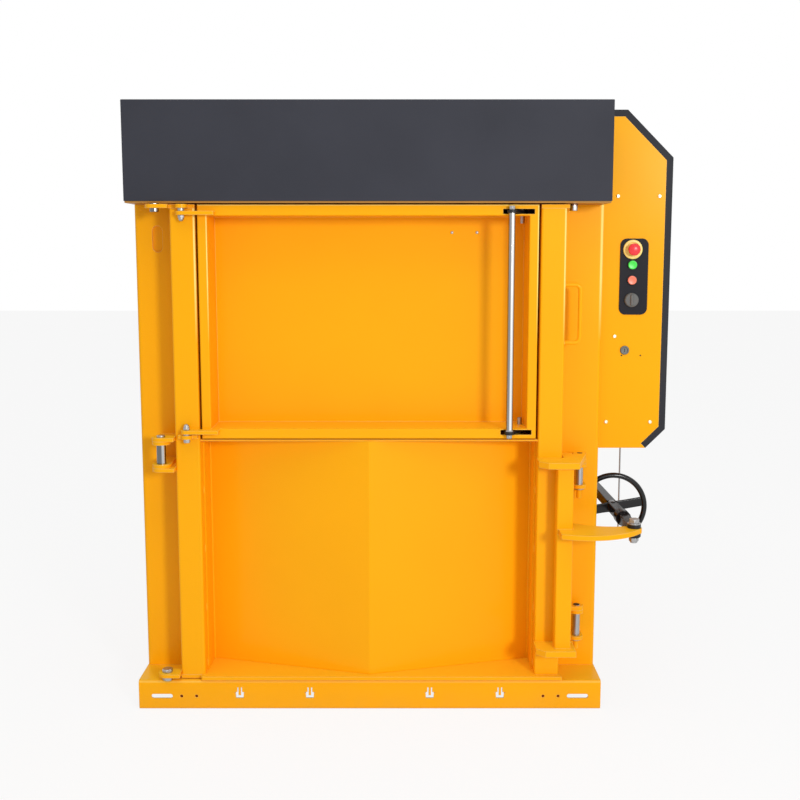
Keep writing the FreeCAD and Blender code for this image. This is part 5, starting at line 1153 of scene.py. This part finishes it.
@dataclass
class ControlStation:
    """Stop mushroom, push buttons, selector and panel lock on the hood.

    An outline holds a radius, a rise off the panel and, where it has one, a rounding.
    """

    x: float = 877.0
    face: float = 197.0
    stop_z: float = 1523.0
    stop_collar: Outline = ((11.4, 0, 0), (32, 0, 0), (32, 6, 2.6), (24, 6, 0.8), (22, 5, 0.8),
                            (11.4, 5, 0))
    stop_crown: tuple[float, float, int] = (36, 2.4, 12)
    stop_rim: Outline = ((18.2, 32.4, 0), (20, 30.6, 1.0), (20, 22, 1.5), (17, 20, 1.0),
                         (11, 18, 2.0), (11, -15, 0), (0, -15, 0))
    start_z: float = 1472.0
    return_z: float = 1421.0
    ring: Outline = ((14.9, 0, 0), (17, 0, 0), (17, 4, 1.0), (15.4, 4, 0.4), (14.9, 3.4, 0))
    cap_dish: tuple[float, float, int] = (7.3, 2, 9)
    cap_rim: Outline = ((12.4, 7.9, 0), (14.5, 7.7, 1.3), (14.5, -15, 0), (0, -15, 0))
    selector_z: float = 1355.0
    disc: Outline = ((6, 0.3, 0), (24, 0.3, 0.5), (23.4, 7, 1.0), (20.5, 10.3, 2.0), (0, 10.3, 0))
    stem_radius: float = 6.0
    stem_span: Span = (-15.0, 1.0)
    grip_half: Place = (6.0, 5.65, 19.0)
    grip_rise: float = 9.65
    grip_round: float = 4.6
    plug: Place = (859.0, 199.7, 1186.0)
    plug_ring: Outline = ((8.5, 0, 0), (15, 0, 0), (15, 5, 1.6), (10.2, 5, 0.6), (9.6, 3.4, 0.3),
                          (8.5, 3.4, 0))
    plug_radius: float = 9.4
    plug_span: Span = (3.2, -12.0)
    cam: tuple[Place, Place] = ((-8.0, 12.0, -8.0), (8.0, 15.0, 42.0))
    cam_round: float = 1.2
    key_slot: tuple[Place, Place] = ((-1.3, -3.8, -6.0), (1.3, -2.8, 6.0))
    key_slot_round: float = 0.3

    def on_face(self, outline: Outline, height: float, sides: int = 48) -> Surface:
        """Turned piece that stands on the control plate's front."""
        return lathed(outline, (self.x, self.face, height), FRONT, sides)

    def stop(self) -> None:
        """Makes the stop button's collar and its mushroom head: a shallow crown, a round edge and
        a neck that runs back to the stem."""
        collar = self.on_face(rounded_outline(self.stop_collar), self.stop_z, sides=64)
        place_piece("stop_button_collar", collar, YELLOW, Body.FRAME, ["stop_collar"])
        head = self.on_face(crowned_outline(*self.stop_crown, self.stop_rim), self.stop_z, sides=64)
        place_piece("stop_button_head", head, RED, Body.STOP, ["stop_button"])

    def push_buttons(self) -> None:
        """Makes both push buttons: a shallow dished cap in a round-edged ring."""
        for height, body, finish, name in (
                (self.start_z, Body.START, GREEN, "start_button"),
                (self.return_z, Body.RETURN, CORAL, "return_button")):
            cap = self.on_face(crowned_outline(*self.cap_dish, self.cap_rim), height)
            place_piece(name + "_cap", cap, finish, body, [name])
        rings = [self.on_face(rounded_outline(self.ring, steps=4), height)
                 for height in (self.start_z, self.return_z)]
        place_piece("push_button_rings", together(rings), BLACK_PLASTIC, Body.FRAME,
                    ["button_bezels"])

    def selector(self) -> None:
        """Makes the selector: a skirted disc with a rounded grip across it and a stem behind."""
        disc = self.on_face(rounded_outline(self.disc), self.selector_z, sides=64)
        stem = round_bar(self.stem_radius, self.stem_span, (self.x, self.face, self.selector_z),
                         FRONT, sides=24)
        middle = np.array([self.x, self.face - self.grip_rise, self.selector_z])
        half = np.array(self.grip_half)
        grip = rounded_box(middle - half, middle + half, self.grip_round, steps=6)
        place_piece("selector_handle", together([disc, stem, grip]), KNOB_GREY, Body.SELECTOR,
                    ["selector_knob"])

    def at_plug(self, corners: tuple[Place, Place], radius: float, steps: int) -> Surface:
        """Rounded box given by two corners measured from the panel lock's centre."""
        low, high = np.array(self.plug) + np.array(corners)
        return rounded_box(low, high, radius, steps)

    def panel_lock(self) -> None:
        """Makes the panel lock: a ring, a barrel set into it with a key slot, and its cam."""
        ring = lathed(rounded_outline(self.plug_ring), self.plug, FRONT)
        barrel = round_bar(self.plug_radius, self.plug_span, self.plug, FRONT)
        cam = self.at_plug(self.cam, self.cam_round, steps=3)
        place_piece("panel_lock_ring", together([ring, barrel, cam]), DULL_STEEL, Body.KEY,
                    ["panel_lock"])
        slot = self.at_plug(self.key_slot, self.key_slot_round, steps=2)
        place_piece("panel_lock_slot", slot, BLACK_PLASTIC, Body.KEY)

    def build(self) -> None:
        """Makes every control."""
        self.stop()
        self.push_buttons()
        self.selector()
        self.panel_lock()


@dataclass
class SmallTrim:
    """Screws of the hood's front panel, rivets of the tray, and the rod under the hood."""

    screws: tuple[Span, ...] = ((824.0, 1698.0), (962.0, 1698.0), (824.0, 1233.0),
                                (802.0, 941.0), (952.0, 941.0))
    hood_face: float = 200.0
    head_radius: float = 6.5
    head_height: float = 4.0
    head_arc: float = 1.02
    head_fullness: float = 0.9
    recess: Outline = ((2.4, 3.9), (2.4, 1.8), (0, 1.5))
    small_screws: tuple[Span, ...] = ((849.0, 1168.0), (913.0, 1168.0))
    small_screw: Outline = ((0, 0), (2.6, 0), (2.5, 0.8), (1.6, 1.4), (0, 1.6))
    rivets: tuple[Span, ...] = ((272.7, 1578.5), (355.3, 1578.5))
    rivet: Outline = ((0, 0), (5.0, 0), (4.6, 1.6), (3.2, 2.8), (0, 3.2))
    tray_face: float = 170.0
    rod: Place = (935.0, 606.0, 440.0)
    rod_radius: float = 3.0
    rod_length: float = 411.0
    rod_rounds: Span = (1.0, 0.0)

    def row(self, outline: Outline, spots: tuple[Span, ...], face: float, sides: int) -> Surface:
        """The same turned head at each spot of a panel's face."""
        return together([lathed(outline, (x, face, z), FRONT, sides) for x, z in spots])

    def button_head(self) -> list[tuple[float, ...]]:
        """Outline of a button head: an arc of a ball with a six-sided recess let into it.

        Returns:
            Radius and rise of each point.
        """
        dome = [(self.head_radius * math.cos(a * self.head_arc),
                 self.head_height * math.sin(a * math.pi / 2) ** self.head_fullness)
                for a in np.linspace(0, 1, 7)]
        return [(0, 0), (self.head_radius, 0), *dome[1:], *self.recess]

    def build(self) -> None:
        """Makes the screws, the rivets and the rod."""
        heads = self.row(self.button_head(), self.screws, self.hood_face, sides=36)
        place_piece("hood_screw_heads", heads, PALE_ZINC, Body.FRAME, ["hood_screws"])
        small = self.row(self.small_screw, self.small_screws, self.hood_face, sides=20)
        place_piece("hood_small_screws", small, SATIN_BLACK, Body.FRAME)
        rivets = self.row(self.rivet, self.rivets, self.tray_face, sides=24)
        place_piece("tray_rivet_heads", rivets, ZINC, Body.HATCH)
        rod = round_bar(self.rod_radius, (0, self.rod_length), self.rod, UP, self.rod_rounds,
                        sides=20)
        place_piece("interlock_rod_bar", rod, ZINC, Body.FRAME, ["interlock_rod"])


@dataclass
class TieHoles:
    """Shaded bottoms of the four blind tie holes in the base's front beam."""

    places: tuple[float, ...] = (-578.0, -628.0, 578.0, 628.0)
    height: float = 46.0
    depth: float = 5.9
    dish: Outline = ((0, 0), (4.9, 0), (4.9, 2.4), (4.1, 2.4), (0, 0.6))

    def build(self) -> None:
        """Makes one shallow dish in each hole."""
        dishes = [lathed(self.dish, (x, self.depth, self.height), FRONT, sides=24)
                  for x in self.places]
        place_piece("tie_hole_bottoms", together(dishes), SHADED_ORANGE, Body.FRAME)


@dataclass
class WeldSeams:
    """Weld beads where plates meet posts, stiles and tubes.

    A line is given by its first place, its last place and the x or depth that both share.
    """

    width: float = 5.0
    stitch_width: float = 6.0
    bead_height: float = 2.6
    bead_root: float = 0.3
    ripple: float = 3.2
    rows_per_ripple: int = 4
    swell: float = 0.14
    end_size: float = 0.25
    stitch_heights: tuple[float, ...] = (733.0, 534.0, 333.0, 139.0)
    stitch_half: float = 12.0
    stitch_depth: float = 66.0
    stile_inner: float = 549.0
    leaf_x: float = -630.0
    leaf_depths: Span = (16.0, 38.0)
    leaf_spans: tuple[Span, ...] = ((115.0, 127.0), (809.0, 821.0), (909.0, 921.0))
    ear_depth: float = 144.0
    door_ear_x: Span = (-703.0, -645.0)
    door_ear_spans: tuple[Span, ...] = ((821.0, 833.0), (897.0, 909.0))
    lock_ear_x: Span = (677.0, 721.0)
    lock_ear_spans: tuple[Span, ...] = ((211.0, 223.0), (302.7, 314.7), (734.0, 746.0),
                                        (805.7, 817.7))
    tube_x: Span = (606.0, 657.0)
    arm_faces: Span = (630.0, 614.0)
    arm_front: float = -56.0
    arm_side: float = 659.0
    arm_side_depths: Span = (-52.0, -8.0)
    plate_faces: Span = (231.0, 832.0)
    plate_front: float = -55.0
    plate_sides: Span = (605.0, 658.0)
    plate_side_depths: Span = (-54.0, -6.0)
    lug_heights: Span = (315.0, 818.0)
    lug_x: Span = (635.0, 657.0)
    lug_depth: float = -5.0

    def bead(self, start: Place, end: Place, lift: np.ndarray, width: float) -> Surface:
        """Weld bead: a half ellipse along a line, whose size swells once for each drop.

        Args:
            start: first place, on the seam.
            end: last place, on the seam.
            lift: vector that the bead stands up along.
            width: width of the bead.

        Returns:
            The closed surface.
        """
        first, last = np.array(start, float), np.array(end, float)
        length = float(np.linalg.norm(last - first))
        count = max(8, int(length / self.ripple * self.rows_per_ripple))
        share = np.linspace(0, 1, count)
        path = first + share[:, None] * (last - first)
        phase = (share * length / self.ripple) % 1.0
        taper = np.clip(np.minimum(share, 1 - share) * length / width, 0.0, 1.0) ** 0.5
        scale = ((1 - self.swell + self.swell * np.sin(phase * math.pi))
                 * (self.end_size + (1 - self.end_size) * taper))
        angle = full_turn(12)
        crown = self.bead_height * np.sin(angle) * np.where(np.sin(angle) > 0, 1, self.bead_root)
        profile = np.stack([width / 2 * np.cos(angle), crown], axis=1)
        up = lift / np.linalg.norm(lift)
        line = (last - first) / length
        square = up - line * float(up @ line)
        return swept(path, profile, square / np.linalg.norm(square), scale)

    def across(self, ends: Span, depth: float, height: float, lift: np.ndarray) -> Surface:
        """Bead that runs to the right."""
        left, right = ends
        return self.bead((left, depth, height), (right, depth, height), lift, self.width)

    def inwards(self, x: float, ends: Span, height: float, lift: np.ndarray) -> Surface:
        """Bead that runs to the back."""
        near, far = ends
        return self.bead((x, near, height), (x, far, height), lift, self.width)

    def frame_seams(self) -> Surface:
        """Beads on the frame: the door's leaves, the ears and the panel's stitches.

        Returns:
            All beads in one surface.
        """
        beads: list[Surface] = []
        for low, high in self.leaf_spans:
            beads.append(self.inwards(self.leaf_x, self.leaf_depths, high, UP - RIGHT))
            beads.append(self.inwards(self.leaf_x, self.leaf_depths, low, DOWN - RIGHT))
        for ends, spans in ((self.door_ear_x, self.door_ear_spans),
                            (self.lock_ear_x, self.lock_ear_spans)):
            for low, high in spans:
                beads.append(self.across(ends, self.ear_depth, high, UP + FRONT))
                beads.append(self.across(ends, self.ear_depth, low, FRONT - UP))
        for side in (-1, 1):
            x, half = side * self.stile_inner, self.stitch_half
            for height in self.stitch_heights:
                beads.append(self.bead((x, self.stitch_depth, height - half),
                                       (x, self.stitch_depth, height + half),
                                       FRONT - side * RIGHT, self.stitch_width))
        return together(beads)

    def lock_seams(self) -> Surface:
        """Beads on the lock: its arm, its clamp plates and its lugs, along the tube.

        Returns:
            All beads in one surface.
        """
        top, under = self.arm_faces
        beads = [self.across(self.tube_x, self.arm_front, top, UP + FRONT),
                 self.across(self.tube_x, self.arm_front, under, DOWN + FRONT),
                 self.inwards(self.arm_side, self.arm_side_depths, top, UP + RIGHT)]
        left, right = self.plate_sides
        for height, lift in zip(self.plate_faces, (UP, DOWN)):
            beads.append(self.across(self.tube_x, self.plate_front, height, lift + FRONT))
            beads.append(self.inwards(left, self.plate_side_depths, height, lift - RIGHT))
            beads.append(self.inwards(right, self.plate_side_depths, height, lift + RIGHT))
        for height in self.lug_heights:
            beads.append(self.across(self.lug_x, self.lug_depth, height, BACK - UP))
        return together(beads)

    def build(self) -> None:
        """Makes the beads of the frame and of the lock."""
        place_piece("frame_weld_beads", self.frame_seams(), ORANGE, Body.FRAME, sharp=70.0)
        place_piece("lock_weld_beads", self.lock_seams(), ORANGE, Body.LOCK, sharp=70.0)


@dataclass
class Studio:
    """Floor, world, lamps and camera.

    A lamp is given by its share, size, distance, azimuth and elevation.
    """

    camera_place: Place = (0.1008, -4.062, 1.522)
    camera_pitch: float = 82.3
    lens: float = 50.0
    sensor: float = 36.0
    ambient: float = 0.55
    floor_glow: float = 0.86
    floor_tones: Span = (0.9, 0.94)
    floor_noise: Span = (0.9, 3.0)
    floor_reach: float = 24.0
    aim: Place = (0.0, 0.0, 1.0)
    key: tuple[float, ...] = (0.35, 0.9, 7.1, 24.0, 11.0)
    overhead: tuple[float, ...] = (0.18, 3.4, 5.0, 0.0, 62.0)

    def seen_directly(self, bench: NodeBench) -> Socket:
        """Output that is 1 for rays from the camera, from gloss and through glass.

        Args:
            bench: the nodes to add to.

        Returns:
            The output, from 0 to 1.
        """
        path = bench.add("LightPath").outputs
        either = bench.math("ADD", path["Is Camera Ray"], path["Is Glossy Ray"], clamp=True)
        return bench.math("ADD", either, path["Is Transmission Ray"], clamp=True)

    def world(self) -> None:
        """Makes the even surrounding light, which shows as white."""
        world = bpy.data.worlds.new("studio")
        bpy.context.scene.world = world
        bench = NodeBench(world)
        back = bench.tree.nodes["Background"]
        back.inputs["Color"].default_value = WHITE
        level = bench.math("MULTIPLY_ADD", self.seen_directly(bench), 1.0 - self.ambient,
                           self.ambient)
        bench.tree.links.new(level, back.inputs["Strength"])

    def floor(self) -> None:
        """Makes the plain pale floor, which keeps the machine's shadow."""
        bench = material_bench("pale_floor")
        dark, light = (shade(WHITE[:3], tone) for tone in self.floor_tones)
        plain = bench.add("BsdfDiffuse", Color=bench.blend(bench.noise(*self.floor_noise), dark,
                                                           light))
        glow = bench.add("Emission", Color=WHITE, Strength=1.0)
        share = bench.math("MULTIPLY", self.seen_directly(bench), self.floor_glow)
        mixed = bench.add("MixShader", _0=share, _1=plain.outputs[0], _2=glow.outputs[0])
        bench.add("OutputMaterial", Surface=mixed.outputs[0])
        mesh = bpy.data.meshes.new("studio_floor")
        corners = [(x * self.floor_reach, y * self.floor_reach, 0.0)
                   for x, y in ((-1, -1), (1, -1), (1, 1), (-1, 1))]
        mesh.from_pydata(corners, [], [[0, 1, 2, 3]])
        mesh.materials.append(bench.owner)
        plane = put_in_scene("studio_floor", mesh)

    def lamp(self, name: str, share: float, size: float, distance: float, azimuth: float,
             elevation: float) -> None:
        """Makes a square lamp that points at the machine's middle.

        Args:
            name: name of the lamp.
            share: brightness that it gives a white face turned to it.
            size: side of the square.
            distance: distance from the machine's middle.
            azimuth: angle to the right of the front, in degrees.
            elevation: angle over the horizon, in degrees.
        """
        light = bpy.data.lights.new(name, "AREA")
        light.shape = "SQUARE"
        light.size = size
        light.energy = share * math.pi**2 * distance**2
        turn, rise = math.radians(azimuth), math.radians(elevation)
        direction = Vector((math.sin(turn) * math.cos(rise), -math.cos(turn) * math.cos(rise),
                            math.sin(rise)))
        holder = put_in_scene(name, light)
        holder.location = Vector(self.aim) + direction * distance
        holder.rotation_euler = (-direction).to_track_quat("-Z", "Y").to_euler()

    def camera(self) -> None:
        """Makes the camera at the photograph's viewing angle."""
        data = bpy.data.cameras.new("camera")
        data.lens = self.lens
        data.sensor_width = self.sensor
        holder = put_in_scene("camera", data)
        holder.location = self.camera_place
        holder.rotation_euler = Euler((math.radians(self.camera_pitch), 0.0, 0.0))
        bpy.context.scene.camera = holder

    def build(self) -> None:
        """Makes the studio."""
        self.world()
        self.floor()
        self.lamp("key_lamp", *self.key)
        self.lamp("overhead_lamp", *self.overhead)
        self.camera()
        bpy.context.scene.view_settings.view_transform = "Standard"


def dress_nodes(nodes: dict[str, bpy.types.Object]) -> None:
    """Gives each CAD node that stays its finish.

    Args:
        nodes: the frame's nodes by name.
    """
    for finish, names in NODE_FINISHES.items():
        for name in names:
            node = nodes[name]
            material = finish.material()
            if node.material_slots:
                for holder in node.material_slots:
                    holder.material = material
            else:
                node.data.materials.append(material)
            log.info("%s: %s", name, finish.name)


def main() -> None:
    """Builds the machine's looks round its frame."""
    logging.basicConfig(level=logging.INFO, format="%(name)s: %(message)s")
    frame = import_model()
    Studio().build()
    dress_nodes(frame["nodes"])
    for assembly in (DoorHardware(), LockLug(), PullRod(), HatchPins(), HandWheel(), ClevisBolt(),
                     ControlStation(), SmallTrim(), TieHoles(), WeldSeams()):
        log.info("building %s", type(assembly).__name__)
        assembly.build()


if __name__ == "__main__":
    main()
